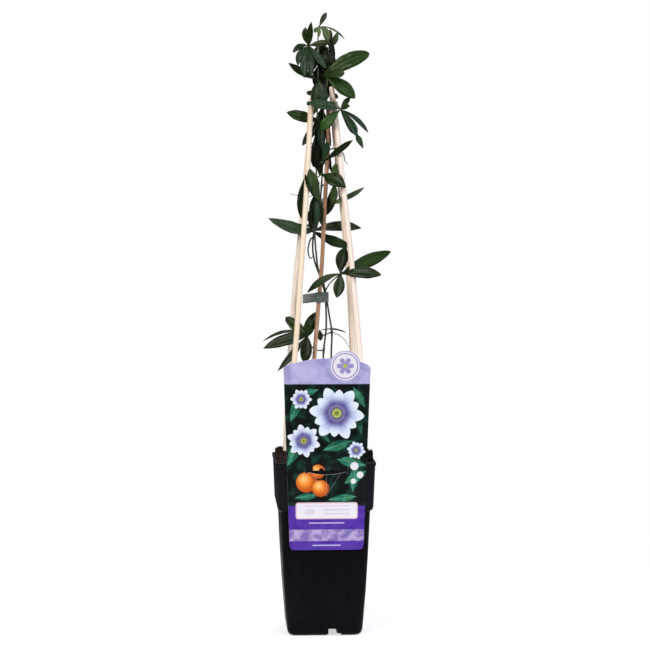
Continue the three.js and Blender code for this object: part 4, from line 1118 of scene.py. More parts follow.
def makePrintGroups():
    groups = {}
    edge = [("Vector", "Vector"), ("Centre", "Vector")]
    soft = ("Softness", 0.15)

    def softStep(tree, distance, softness):
        return rangeNode(tree, distance, softness, times(tree, softness, -1.0))

    tree, given, result = newTree("printDisc", [*edge, ("Radius", 1.0), soft], ["Mask"])
    away = vectorNode(tree, "DISTANCE", given["Vector"], given["Centre"])["Value"]
    inside = minus(tree, away, given["Radius"])
    tree.links.new(softStep(tree, inside, given["Softness"]), result["Mask"])
    groups["disc"] = tree

    tree, given, result = newTree("printBox", [
        *edge, ("Half Size", (1, 1, 0)), ("Corner", 1.0), soft], ["Mask"])
    offset = vectorNode(tree, "SUBTRACT", given["Vector"], given["Centre"])[0]
    mirrored = vectorNode(tree, "ABSOLUTE", offset)[0]
    beyond = splitVector(tree, vectorNode(tree, "SUBTRACT", mirrored, given["Half Size"])[0])
    outX = mathNode(tree, "ADD", beyond[0], given["Corner"])
    outY = mathNode(tree, "ADD", beyond[1], given["Corner"])
    corner = addNode(tree, "CombineXYZ", n0=mathNode(tree, "MAXIMUM", outX, 0.0),
                     n1=mathNode(tree, "MAXIMUM", outY, 0.0))
    reach = vectorNode(tree, "LENGTH", corner[0])["Value"]
    within = mathNode(tree, "MINIMUM", mathNode(tree, "MAXIMUM", outX, outY), 0.0)
    distance = minus(tree, mathNode(tree, "ADD", reach, within), given["Corner"])
    tree.links.new(softStep(tree, distance, given["Softness"]), result["Mask"])
    groups["box"] = tree

    tree, given, result = newTree("printLine", [
        ("Vector", "Vector"), ("Start", "Vector"), ("End", "Vector"), ("Width", 0.5), soft], ["Mask"])
    whole = vectorNode(tree, "SUBTRACT", given["End"], given["Start"])[0]
    part = vectorNode(tree, "SUBTRACT", given["Vector"], given["Start"])[0]
    share = mathNode(tree, "DIVIDE", vectorNode(tree, "DOT_PRODUCT", part, whole)["Value"],
                     vectorNode(tree, "DOT_PRODUCT", whole, whole)["Value"])
    share = addNode(tree, "Clamp", value=share)[0]
    away = vectorNode(tree, "DISTANCE", part, scaledVector(tree, whole, share))["Value"]
    inside = minus(tree, away, times(tree, given["Width"], 0.5))
    tree.links.new(softStep(tree, inside, given["Softness"]), result["Mask"])
    groups["line"] = tree

    tree, given, result = newTree("printPetals", [
        *edge, ("Radius", 10.0), ("Turn", 0.0), ("Count", 6.0), ("Notch", 0.6), ("Bluntness", 1.5), soft],
        ["Mask", "Aside", "Out", "Streak"])
    offset = splitVector(tree, vectorNode(tree, "SUBTRACT", given["Vector"], given["Centre"])[0])
    angle = mathNode(tree, "ARCTAN2", offset[1], offset[0])
    away = vectorNode(tree, "DISTANCE", given["Vector"], given["Centre"])["Value"]
    turned = mathNode(tree, "MULTIPLY_ADD", angle, times(tree, given["Count"], 0.5), given["Turn"])
    # from 0 on a petal's middle line to 1 between two petals
    aside = mathNode(tree, "DIVIDE", mathNode(tree, "ARCSINE", mathNode(
        tree, "ABSOLUTE", mathNode(tree, "SINE", turned))), math.pi / 2)
    droop = times(tree, mathNode(tree, "POWER", aside, given["Bluntness"]), given["Notch"])
    reach = times(tree, given["Radius"], minus(tree, 1.0, droop))
    inside = minus(tree, away, reach)
    tree.links.new(softStep(tree, inside, given["Softness"]), result["Mask"])
    tree.links.new(aside, result["Aside"])
    tree.links.new(mathNode(tree, "DIVIDE", away, given["Radius"]), result["Out"])
    fine = addNode(tree, "CombineXYZ", n0=times(tree, angle, printSettings["streakRate"]),
                   n1=mathNode(tree, "DIVIDE", away, given["Radius"]))
    streak = addNode(tree, "TexNoise", vector=fine[0], **printSettings["streak"])
    tree.links.new(streak[0], result["Streak"])
    groups["petals"] = tree

    tree, given, result = newTree("printLeaf", [
        ("Vector", "Vector"), ("Foot", "Vector"),
        ("Turn", 0.0), ("Length", 20.0), ("Width", 8.0), soft],
        ["Mask", "Midrib"])
    offset = vectorNode(tree, "SUBTRACT", given["Vector"], given["Foot"])[0]
    turned = addNode(tree, "VectorRotate", {"rotation_type": "Z_AXIS"}, vector=offset,
                     angle=times(tree, given["Turn"], -1.0))
    parts = splitVector(tree, turned[0])
    share = addNode(tree, "Clamp", value=mathNode(tree, "DIVIDE", parts[0], given["Length"]))
    swell = mathNode(tree, "SINE", times(tree, share[0], math.pi))
    half = times(tree, times(tree, swell, given["Width"]), 0.5)
    aside = mathNode(tree, "ABSOLUTE", parts[1])
    # drawn in by the softness, so that nothing shows before the foot or beyond the tip
    inside = mathNode(tree, "ADD", minus(tree, aside, half), given["Softness"])
    mask = softStep(tree, inside, given["Softness"])
    rib = softStep(tree, minus(tree, aside, printSettings["ribHalf"]), given["Softness"])
    tree.links.new(mask, result["Mask"])
    tree.links.new(times(tree, rib, mask), result["Midrib"])
    groups["leaf"] = tree
    return groups


def makeCardPrint():
    settings = printSettings
    cover = settings["cover"]
    softEdge = settings["softEdge"]
    badge = cardSettings["badge"]
    groups = makePrintGroups()
    material, tree, shader = newMaterial("cardPrint", settings["shine"])
    world = objectPlace(tree)
    parts = splitVector(tree, world)
    aside = times(tree, minus(tree, parts[0], potMiddle.x), 1 / millimetre)
    upward = times(tree, parts[2], 1 / millimetre)
    spot = addNode(tree, "CombineXYZ", n0=aside, n1=upward)[0]

    def mix(mask, first, second, strength=1.0):
        # first and second are sockets or names of tints
        pair = [settings[tint] if isinstance(tint, str) else tint for tint in (first, second)]
        return blend(tree, times(tree, mask, strength), *pair)

    def above(height, softness=0.2):
        return rangeNode(tree, upward, height - softness, height + softness)

    def disc(x, z, radius, softness=0.15):
        return useGroup(tree, groups["disc"], vector=spot, centre=(x, z, 0), radius=radius,
                        softness=softness)[0]

    def box(x, z, halfLength, halfHeight, corner):
        return useGroup(tree, groups["box"], vector=spot, centre=(x, z, 0),
                        halfSize=(halfLength, halfHeight, 0), corner=corner)[0]

    def petals(x, z, **values):
        return useGroup(tree, groups["petals"], vector=spot, centre=(x, z, 0), **values)

    def castShadow(under, x, z, radius):
        # a soft dark patch below and to the right of a motif
        right, down, soft = (share * radius for share in settings["shadowPlace"])
        return mix(disc(x + right, z - down, radius, soft), under, "shadow", cover["shadow"])

    # violet foot with a marbled strip, then the dark picture, then the header
    patchy, vein, cloud, glimmer, wash = (grain(tree, spot, settings[name]) for name in (
        "patchy", "vein", "cloud", "glimmer", "wash"))
    colour = mix(patchy, "band", "bandDark")
    colour = mix(box(*settings["strip"]), colour, mix(vein, "bandLight", "marble"))
    night = mix(cloud, "night", "nightLeaf")
    foliage = mix(glimmer, mix(cloud, "leaf", "grass"), "leafLight", cover["leafLight"])
    for x, z, turn, length, width in settings["leaves"]:
        frond = useGroup(tree, groups["leaf"], vector=spot, foot=(x, z, 0), turn=math.radians(turn),
                         length=length, width=width, softness=settings["leafSoft"])
        night = mix(frond["Mask"], night, foliage, cover["leaf"])
        night = mix(frond["Midrib"], night, "leafVein", cover["leafVein"])
    for x, z, radius in settings["berries"]:
        night = castShadow(night, x, z, radius)
        body = "berryShade"
        for left, up, share, soft, tint in settings["berrySpots"]:
            body = mix(disc(x - radius * left, z + radius * up, radius * share, radius * soft), body, tint)
        night = mix(disc(x, z, radius, softEdge), night, body)
    part = settings["petalParts"]
    for x, z, radius, turn in settings["blooms"]:
        night = castShadow(night, x, z, radius * settings["bloomShadow"])
        for share, extra in settings["petalLayers"]:
            layer = petals(x, z, radius=radius * share, turn=turn + extra, softness=softEdge)
            tip = rangeNode(tree, layer["Out"], *part["tip"], "LINEAR")
            root = rangeNode(tree, layer["Out"], *part["root"], "LINEAR")
            fold = rangeNode(tree, layer["Aside"], *part["fold"], "LINEAR")
            body = mix(tip, "petal", "petalTip")
            body = mix(times(tree, root, layer["Streak"]), body, "petalShade", cover["streak"])
            body = mix(fold, body, "petalShade", cover["fold"])
            night = mix(layer["Mask"], night, body)
        for share, softness, tint, strength in settings["eye"]:
            if tint == "stamen":
                mask = petals(x, z, radius=radius * share, turn=turn, **settings["stamens"])["Mask"]
            else:
                mask = disc(x, z, radius * share, radius * softness)
            night = mix(mask, night, tint, strength)
    colour = mix(above(settings["pictureFoot"]), colour, night)
    for x, z, radius in settings["dots"]:
        colour = mix(disc(x, z, radius), colour, "white")
    wave = addNode(tree, "TexWave", {"wave_type": "BANDS", "bands_direction": "DIAGONAL"},
                   vector=spot, **settings["wave"])
    swirl = rangeNode(tree, wave[1], *settings["waveSpan"], "LINEAR")
    header = mix(swirl, "header", "headerWave", cover["headerWave"])
    header = mix(wash, header, "headerLight", cover["headerLight"])
    colour = mix(above(settings["headerFoot"], softEdge), colour, header)
    # a plain white box, a few pale dashes, and a round badge
    outer, inner = (box(*shape) for shape in settings["box"])
    colour = mix(outer, colour, "white")
    edge = times(tree, outer, minus(tree, 1.0, inner))
    colour = mix(edge, colour, "pinkLine", cover["edge"])
    for x, z, half, thick, tint in settings["dashes"]:
        bar = box(x, z, half, thick, thick * settings["dashCorner"])
        colour = mix(bar, colour, tint, cover["dash"])
    for share, tint in settings["badgeRings"]:
        colour = mix(disc(badge["x"], badge["z"], badge["radius"] * share), colour, tint)
    star = petals(badge["x"], badge["z"], **settings["star"])
    colour = mix(star["Mask"], colour, "mauve", cover["star"])
    colour = mix(disc(badge["x"], badge["z"], settings["starHeart"]), colour, "heart")
    for start, end in settings["creases"]:
        crease = useGroup(tree, groups["line"], vector=spot, start=(*start, 0), end=(*end, 0),
                          **settings["crease"])[0]
        colour = mix(crease, colour, "white", cover["crease"])
    plugInto(tree, shader, baseColor=colour)
    addBump(tree, shader, grain(tree, world, settings["fine"]), settings["relief"])
    return material


def buildCard():
    settings = cardSettings
    outline, hole = cardOutline()
    cardBm = bmesh.new()
    for loop in (outline, hole):
        verts = [cardBm.verts.new((x, z - settings["rimZ"], 0)) for x, z in loop]
        for a, b in zip(verts, [*verts[1:], verts[0]]):
            cardBm.edges.new((a, b))
    bmesh.ops.triangle_fill(cardBm, use_beauty=True, use_dissolve=False, edges=cardBm.edges[:])
    front = bmesh.ops.extrude_face_region(cardBm, geom=cardBm.faces[:])
    for item in front["geom"]:
        if isinstance(item, bmesh.types.BMVert):
            item.co.z = settings["thickness"]
    bmesh.ops.recalc_face_normals(cardBm, faces=cardBm.faces[:])
    lean = Matrix.Rotation(math.radians(90 + settings["tilt"]), 4, "X")
    cardBm.transform(lean)
    for vert in cardBm.verts:
        x, y, z = vert.co
        vert.co = place((x, y - settings["lipHalf"] - settings["standOff"], z + settings["rimZ"]))
    mesh = bpy.data.meshes.new("labelCard")
    cardBm.to_mesh(mesh)
    cardBm.free()
    mesh = roundEdges(linkObject("card", mesh), settings["bevel"])
    plain, tree, shader = newMaterial("cardPlastic", settings["shine"])
    fine = grain(tree, objectPlace(tree), settings["fine"])
    plugInto(tree, shader, baseColor=blend(tree, fine, *settings["plainTints"]))
    addBump(tree, shader, fine, settings["relief"])
    dressMesh(mesh, plain, makeCardPrint())
    for face in mesh.polygons:
        face.material_index = 1 if face.normal.y < settings["printedFacing"] else 0
    addPiece("labelCard", mesh, ["label_card"])


buildCard()
print("card printed")

# leaves
leafSettings = {
    "rowLength": 1.9, "fewestRows": 12, "columns": 12, "behindHub": 1.2, "widestAt": 1.3,
    "full": 0.75, # lower makes a blunter lobe
    "foot": 0.16, "tipHalf": 0.3, "thickness": 0.5, "fold": 0.14, "bulge": 0.07,
    "curl": 0.1, "curlPower": 6, "wave": 0.045, "wavePower": 1.6, "waves": 9,
    "rimPower": 5, "thinTip": 0.35, # how late a blade thins towards its rim, and how thin where it is narrow
    "smallWave": {"share": 0.35, "rate": 2.3, "shift": 1.9}, # beside the large one
    "leafShift": 1.7, "lobeShift": 2.3, # how far the waves move on from leaf to leaf and lobe to lobe
    "crowding": 0.85, # columns stand a little closer together towards the rim
    "reach": 0.996, # a blade ends this share of the way to its tip, so that its edge stays inside it
    "pinch": 0.62, # how much a pinched blade narrows at its neck
    "pinchRate": 14, # higher makes a shorter neck
    "looks": {"front": (0, -0.9, 0.45), "slant": (0, -0.36, 0.93), "steep": (0, -0.6, 0.8),
              "up": (0, -0.2, 1), "back": (0, 0.6, 0.8)},
    "passReach": 5.5, # from this far beside a stake a blade starts to bend clear of it
    "passClearance": 1.0,
    "passFoot": 4, "passHead": 4, "passAbove": 6, # how far beyond a rod's ends a blade minds it
    "tallest": 720, # no rod reaches this height
    "seed": 21,
    # tints are dark, light, fresh, pale and vein; pale is a paler grey-green that partly stands in for a
    # painted sheen
    "upper": {"tints": ("#131e0a", "#203211", "#2c4717", "#2f4b3b", "#3c5028"), "roughness": 0.3,
              "gloss": 0.12, "coat": 0.09, "ridge": -1.0},
    "under": {"tints": ("#26331a", "#354625", "#45602b", "#50684e", "#596c42"), "roughness": 0.42,
              "gloss": 0.08, "coat": 0.02, "ridge": 1.0},
    # the painted-shade tint is a near-black green that paints shade onto lobes deep in the foliage
    "youngTint": "#56663f", "deepTint": "#050a05", "rimTint": "#4a4a2c",
    "shine": {"IOR": 1.45, "Specular Tint": (0.9, 1.0, 0.97, 1), "Coat Roughness": 0.12},
    "cloud": (55.0, 4.0, 0.35, 0.68), "fine": (1400.0, 2.0, 0.3, 0.7), "swell": (150.0, 1.0, 0.2, 0.8),
    "lightShare": 0.4, "paleSheenShare": 0.6, "paintedShadeShare": 0.8, "rimShare": 0.2,
    # how far midrib and side veins colour the blade, and how far they stand out of it
    "midrib": (0.28, 0.7), "sideVein": (0.07, 0.25), "roughSpan": 0.12, "paintedShadeRough": 0.1,
    "fineRelief": 0.1, "swellRelief": 3.0, "relief": (0.00012, 0.8),
}


# a lobe's shade paints shade onto it with a near-black green, for lobes deep in the foliage; its pale gives
# a paler grey-green with a painted sheen
def lobe(tip, wide, bow=(0, 0, 2), **extra):
    return {"tip": tip, "wide": wide, "bow": bow, **extra}


def leaf(z, path, *lobes):
    # the stalk leads from the stem at height z along the path to its end, where the lobes meet
    return {"z": z, "path": path, "lobes": lobes}


leftLeaves = [
    leaf(390, [(8, -3, 400), (19, -21, 411)],
         lobe((25, -16.5, 441), 14.5, (-4, 0, 0), shade=0.5),
         lobe((77, -10, 436), 16, (-2, 3, 0.5), fresh=0.2),
         lobe((64, -35, 410), 14, (0, -3, 4), shade=0.15),
         lobe((14, -29, 384), 13, (1, -2, 2), shade=0.2),
         lobe((-19, -12, 389), 9, (0, -2, 9))),
    leaf(322, [(-5, 6.5, 322), (-13.5, 1, 327), (-19, -12, 340)],
         lobe((-6.4, 6.4, 366), 13.5, (-2.5, 11, 0), full=0.55, widest=0.85),
         lobe((-43, 2, 361), 13, (3, 0, -2.5), full=0.45, widest=1.4),
         lobe((-69, -4, 325), 15, (0, 0, 5), widest=0.95, shade=0.3),
         lobe((-53, -19, 300), 8, (4, 0, 3), shade=0.3),
         lobe((-22.5, -19, 310), 13.5, (1.5, -3, 1), full=0.6, shade=0.3),
         lobe((-69, 12, 332), 7, (2, 4, 16), look="steep", pale=0.3)),
    leaf(482, [(-3, -6, 491)],
         lobe((-16.5, -23, 530), 14, (-3, -3, 0), young=0.4, pale=0.2),
         lobe((-22, -24, 524), 6.5, (-4, -3, -3), shade=0.7)),
    leaf(506, [(-7.5, -2.5, 505)],
         lobe((-15, -1.5, 478), 6, (-1, 0, 0), shade=1.0),
         lobe((-14.5, -6, 458), 7, (-4, -1, 2), shade=0.9),
         lobe((-8, -8, 461), 7, (0, -4, 0), pale=0.7),
         lobe((-2.5, -6, 466), 7, (2, -2, 0), shade=0.8)),
    leaf(521, [(-14, -3, 527), (-20, -7, 523)],
         lobe((-25, -9.5, 473), 11, (-3.5, 0, 0), shade=0.5),
         lobe((-3, 21, 512), 9, (0, 0, 5), look="up")),
    leaf(519, [(-2, -5.6, 524)],
         lobe((24.5, -24, 508.6), 17, (0, -5, 3), full=1, widest=1.1, fresh=0.25, shade=0.5)),
    leaf(535, [(0, -7, 538)],
         lobe((32, -27, 562), 8, (0, -1, 0), shade=0.6),
         lobe((5, -9, 561), 9, pale=0.5)),
    leaf(580, [(-3, -1, 584)],
         lobe((-42, -4, 594), 15, (0, 0, 0), fresh=0.25),
         lobe((-24, -2, 556), 10, (1, 0, 4), shade=0.9),
         lobe((-8, -1, 529), 12, (-2, -2, 0), shade=0.95),
         lobe((-2, -6, 552), 10, (0, -2, 0), shade=0.6, pale=0.3)),
    leaf(610, [(0, -7, 613), (8, -15.6, 610), (19, -15, 597)],
         lobe((-18, -21, 604), 14, (0, -4, 3), pale=0.6),
         lobe((-3, -14, 573), 13.5, (-5, -5, -1), fresh=1.0),
         lobe((30, -12, 610.5), 6.5, fresh=0.3),
         lobe((29, -24, 600), 7, fresh=0.3),
         lobe((44.5, -20, 552.5), 10.5, (1.5, 0, 3), widest=1, pinch=0.68, pale=0.4),
         lobe((51, -8, 571), 6, (4, 0, 5), shade=0.5, pale=0.5)),
    leaf(627, [(-6, -10, 631)],
         lobe((-40, -8, 650), 10, (0, 0, -4), shade=0.4),
         lobe((-11, -17.5, 602), 9.5, (-3, -1, 0), shade=0.5),
         lobe((1, -16, 602), 13, (0, -3, 0), pale=0.3)),
    leaf(662, [(-17, -8, 669)],
         lobe((-35, -12, 660.5), 7.5, (-1, -2, 7), shade=0.5),
         lobe((-20.4, -5, 690), 9, (-2, 0, 0), fresh=0.2),
         lobe((-14, -12, 695.5), 7.5, widest=0.8),
         lobe((7.6, -16, 671.5), 8.5, (0, -3, 2), shade=0.2),
         lobe((2.4, -22, 642), 8, (0, -2, 2), pale=0.5, shade=0.2),
         lobe((-29, -16, 646), 8, (-7, -3, 4), pale=0.3, shade=0.4),
         lobe((-22.6, -22, 632), 9.5, (-4, -5, 2), pale=0.5, shade=0.2),
         lobe((-15.6, -24, 632), 9, (2, -6, 1), pale=0.3, shade=0.3)),
    leaf(688, [(-4.4, -2, 691)],
         lobe((-9.6, -3, 684), 5, (-2, 0, 1), young=1.0),
         lobe((-5, -6, 679), 4.5, young=0.9),
         lobe((4, -2, 707), 6, shade=0.2),
         lobe((24.5, 0, 677), 6, (2, 0, 8), look="slant"),
         lobe((3.6, -5, 673), 9, (7, -2, 5), young=0.7),
         lobe((12, 4, 647), 6.5, (9, 2, 8), shade=0.9)),
]

rightLeaves = [
    leaf(343, [(4, 13.4, 340), (-1.6, 9.6, 339), (-3.6, 6.4, 344.6)],
         lobe((26, -3, 343), 6, (0, -1.6, 6), look="up", shade=0.6),
         lobe((-2.6, 7.4, 333), 7, pale=0.5, young=0.3, full=0.6)),
    leaf(456, [(-11.4, 12.6, 459)],
         lobe((-63.5, -8, 474), 16, (0, 3, -5), pale=0.5, young=0.25, widest=0.85),
         lobe((46, 31, 462), 13, (0, 6, 8)),
         lobe((32.5, 8, 441.5), 12.5, (0, 0, -4)),
         lobe((-13, 52, 462), 13, (0, 0, 10), look="up")),
    leaf(480, [(-2, 17, 483), (-3, 22, 486)],
         lobe((-5, 62, 480), 13, (0, 0, 9), look="up"),
         lobe((-15, 50, 470), 9, (-3, 0, 8), look="up"),
         lobe((5, 50, 496), 9, (3, 0, 7), look="up")),
    leaf(510, [(5, 6.6, 514), (13, 4, 514)],
         lobe((4, 5, 477), 10.5, (3, 0, 0), shade=0.7),
         lobe((10, 3.5, 490), 10, (2, 0, 0), fresh=0.5, young=0.3),
         lobe((15, 2, 537), 10, (0, -1, 0), fresh=0.4, young=0.5)),
    leaf(488, [(7, 7, 491)],
         lobe((47, 1, 509), 6.5, (4, 0, -3.5), pale=0.8, young=0.5),
         lobe((22, 3, 493), 5.5, (0, 0, 1), young=0.8)),
    leaf(544, [(-3, 15, 548), (-5, 20, 550)],
         lobe((-4, 64, 560), 13, (0, 0, 8), look="up"),
         lobe((-14, 52, 538), 12, (-3, 0, 8), look="up"),
         lobe((3, 50, 542), 10, (2, 0, 8), look="up")),
    leaf(562, [(-1, 12, 568)],
         lobe((10, 14, 527), 7, (1, 1, 0), look="back", shade=0.9),
         lobe((-3, 15, 522), 9, (-1, 2, 0), look="back", shade=1.0),
         lobe((-10, 15, 532), 12, (-2, 2, 0), look="back", shade=1.0),
         lobe((1, 13, 534), 10.5, (0, 3, 0), look="back", shade=0.8),
         lobe((-13, 9, 549), 9, (0, 2, 3), look="back", shade=0.8)),
    leaf(608, [(1, 13, 612), (-1, 19, 617)],
         lobe((0, 66, 634), 14, (0, 0, 6), look="up"),
         lobe((-14, 50, 616), 12, (-3, 0, 7), look="up"),
         lobe((19, 50, 612), 12, (3, 0, 7), look="up"),
         lobe((-9, 36, 593), 9, (-1, 3, 4), look="back")),
    leaf(634, [(3, -6, 636), (1, -12, 635)],
         lobe((52, -16, 660), 19, (-3, -2, 5.2), full=0.5, fresh=0.4),
         lobe((23, -27, 637), 12.5, (0, -3, 1), full=0.6, fresh=0.1),
         lobe((35, -20, 609), 17, (2, -2, 4), full=0.7, fresh=0.6, shade=0.15)),
    leaf(664, [(4.6, -1, 667)],
         lobe((10, -5, 643), 10, (3, -3, 0), shade=1.0),
         lobe((-1, -5, 644), 9, (-3, -3, 0), shade=0.8)),
    leaf(598, [(-1, 8.5, 600.5)],
         lobe((9.5, 12, 556), 6, (1, 1, 0), shade=1.0),
         lobe((-8, 8, 566), 9.5, (-2, 1, 0), shade=1.0),
         lobe((3, 11, 565), 10, (1, 1, 0), shade=1.0)),
    leaf(640, [(0, 10, 643)],
         lobe((-5, 8, 609), 12, (-2, 1, 0), shade=1.0),
         lobe((5, 7, 609), 11, (3, 2, 0), shade=0.9)),
    leaf(664, [(3, 6, 670), (-1, 8, 676)],
         lobe((-11, 9, 642), 11, (-4, 0, 0), shade=0.6, pale=0.3),
         lobe((0, 10, 636), 12, (0, 1, 0), shade=1.0),
         lobe((8, 12, 640), 10, (4, 1, 0), shade=1.0)),
    leaf(666, [(7.6, 8, 668)],
         lobe((9, 9, 689), 6, young=0.6),
         lobe((17, 9, 686), 7, (2, 0, -3), young=0.8)),
    leaf(622, [(4, -5, 624)],
         lobe((-3, -9, 613), 8, (0, -2, 2), shade=0.6)),
    leaf(650, [(4, 9, 653), (1, 14, 655)],
         lobe((-6, 54, 668), 13, (0, 0, 6), look="up"),
         lobe((13, 48, 650), 11, (3, 0, 6), look="up"),
         lobe((-18, 42, 648), 11, (-3, 0, 6), look="up"),
         lobe((9, 14, 622), 14, (2, 2, 0), look="back", shade=1.0),
         lobe((-8, 18, 624), 12, (-2, 2, 0), look="back", shade=1.0)),
]

leafPlaces = {"left": leftLeaves, "right": rightLeaves}

# thickness and course of each tendril
tendrilPlaces = {
    "left": [
        (0.45, [
            (-9.6, 4, 466), (-5, -2, 470), (0.9, -3.6, 469), (4.5, 0, 467.4), (0.9, 3.6, 466),
            (-2.6, 0, 464.6), (0.8, -3.6, 463.2), (4.4, -1, 462)]),
        (0.45, [(-9.4, 3.6, 500), (-16, 1, 498.6), (-28, -2, 499.6), (-39, -6, 501.6)]),
    ],
    "right": [
        (0.95, [
            (-10.6, 11, 452), (-13.6, 8, 450), (-16.4, 5.4, 442), (-16.8, 4.6, 434), (-14, 6.4, 427.6),
            (-10.9, 10.6, 431)]),
        (0.45, [(10.6, 9.4, 343), (18, 6, 340), (25, 3, 334), (30, 0, 325.6)]),
        (0.8, [
            (0.4, 8.4, 545), (8, 5.6, 552), (16, -0.6, 553), (23, -3, 547), (24.8, -2.6, 539),
            (28, -4.4, 535)]),
    ],
}


def rodTables():
    # x and y of every rod at each whole millimetre of height
    tables = []
    shapes = [(points, stakeSettings["radius"]) for points in stakeSettings["lines"].values()]
    shapes.append((caneSettings["line"], caneSettings["radius"]))
    for points, radius in shapes:
        line = smoothLine(points, stakeSettings["measureSteps"])
        spots = [pointAtHeight(line, z) for z in range(leafSettings["tallest"])]
        head = points[-1][2] + leafSettings["passHead"]
        tables.append((radius, points[0][2], head, [(spot.x, spot.y) for spot in spots]))
    return tables


rods = rodTables()


def rodPlace(table, z):
    low = max(0, min(len(table) - 2, int(z)))
    share = min(1, max(0, z - low))
    (x1, y1), (x2, y2) = table[low], table[low + 1]
    return x1 + (x2 - x1) * share, y1 + (y2 - y1) * share


def sideOfRod(middles, table, foot, head):
    # before or behind: the side on which the lobe's own middle line passes this rod
    closest = None
    for middle in middles:
        if not foot - leafSettings["passFoot"] < middle.z < head + leafSettings["passAbove"]:
            continue
        x, y = rodPlace(table, middle.z)
        away = abs(middle.x - x)
        if closest is None or away < closest[0]:
            closest = (away, 1 if middle.y > y else -1)
    return closest[1] if closest else 0


def passRods(point, sides):
    settings = leafSettings
    for (radius, foot, head, table), side in zip(rods, sides):
        if not side or not foot - 2 < point.z < head:
            continue
        x, y = rodPlace(table, point.z)
        aside = abs(point.x - x)
        if aside > radius + settings["passReach"]:
            continue
        ease = min(1, (radius + settings["passReach"] - aside) / (settings["passReach"] - 1))
        ease = ease * ease * (3 - 2 * ease)
        wanted = (radius + settings["passClearance"] + settings["thickness"] / 2) * ease
        depth = (point.y - y) * side
        if -wanted < depth < wanted:
            point.y = y + side * wanted
    return point


def growLobe(leafBm, layers, hub, shape, number, order):
    settings = leafSettings
    columns = settings["columns"]
    start = Vector(hub)
    end = Vector(shape["tip"])
    bend = (start + end) / 2 + Vector(shape["bow"])
    look = Vector(settings["looks"][shape.get("look", "front")])
    length = (end - start).length
    wide = shape["wide"]
    rows = max(settings["fewestRows"], round(length / settings["rowLength"]))
    phase = number * settings["leafShift"] + order * settings["lobeShift"]
    mood = (random.random(), shape.get("fresh", 0.0), shape.get("young", 0.0))
    # painted shade, and the pale tint with its painted sheen
    tone = (shape.get("shade", 0.0), shape.get("pale", 0.0), 0.0)
    widest = shape.get("widest", settings["widestAt"])
    full = shape.get("full", settings["full"])

    def along(t):
        return (bend - start) * 2 * (1 - t) + (end - bend) * 2 * t

    middles = []
    for row in range(rows + 1):
        t = row / rows * settings["reach"]
        middle = start * (1 - t) ** 2 + bend * 2 * t * (1 - t) + end * t ** 2
        if row == 0:
            middle = middle - along(0).normalized() * settings["behindHub"]
        middles.append(middle)
    sides = [sideOfRod(middles, table, foot, head) for _, foot, head, table in rods]
    upperRows = []
    lowerRows = []
    for row, middle in enumerate(middles):
        t = row / rows
        forward = along(t).normalized()
        across = forward.cross(look).normalized()
        up = across.cross(forward).normalized()
        swell = max(0, math.sin(math.pi * t ** widest)) ** full
        if "pinch" in shape:
            swell *= 1 - settings["pinch"] * math.exp(-((t - shape["pinch"]) * settings["pinchRate"]) ** 2)
        half = max(wide / 2 * swell, wide / 2 * settings["foot"] * (1 - t), settings["tipHalf"])
        wave = wide * settings["wave"]
        ripple = wave * math.sin(settings["waves"] * t + phase)
        small = settings["smallWave"]
        ripple += wave * small["share"] * math.sin(settings["waves"] * small["rate"] * t
                                                   + phase * small["shift"])
        upper = []
        lower = []
        for column in range(columns + 1):
            u = column / columns * 2 - 1
            u = math.copysign(abs(u) ** settings["crowding"], u)
            side = abs(u)
            height = half * (settings["fold"] * side + settings["bulge"] * math.sin(math.pi * side))
            height -= half * settings["curl"] * side ** settings["curlPower"]
            height -= math.copysign(ripple * side ** settings["wavePower"], u)
            spot = passRods(middle + across * (u * half) + up * height, sides)
            thick = settings["thickness"] / 2 * (1 - side ** settings["rimPower"])
            thick *= min(1, settings["thinTip"] + half / 2)
            if column in (0, columns):
                shared = leafBm.verts.new(place(spot))
                pair = (shared, shared)
            else:
                pair = (leafBm.verts.new(place(spot + up * thick)),
                        leafBm.verts.new(place(spot - up * thick)))
            for vert in set(pair):
                vert[layers["lobeMap"]] = (u, t, length * millimetre)
                vert[layers["lobeLook"]] = mood
                vert[layers["lobeTone"]] = tone
            upper.append(pair[0])
            lower.append(pair[1])
        upperRows.append(upper)
        lowerRows.append(lower)
    for row in range(rows):
        for column in range(columns):
            for sheet, index in ((upperRows, 0), (lowerRows, 1)):
                corners = [sheet[row][column], sheet[row][column + 1], sheet[row + 1][column + 1],
                           sheet[row + 1][column]]
                if index:
                    corners.reverse()
                face = leafBm.faces.new(corners)
                face.material_index = index
                face.smooth = True
    for row, turn in ((0, True), (rows, False)):
        loop = [*upperRows[row], *reversed(lowerRows[row][1:-1])]
        face = leafBm.faces.new(reversed(loop) if turn else loop)
        face.material_index = 1


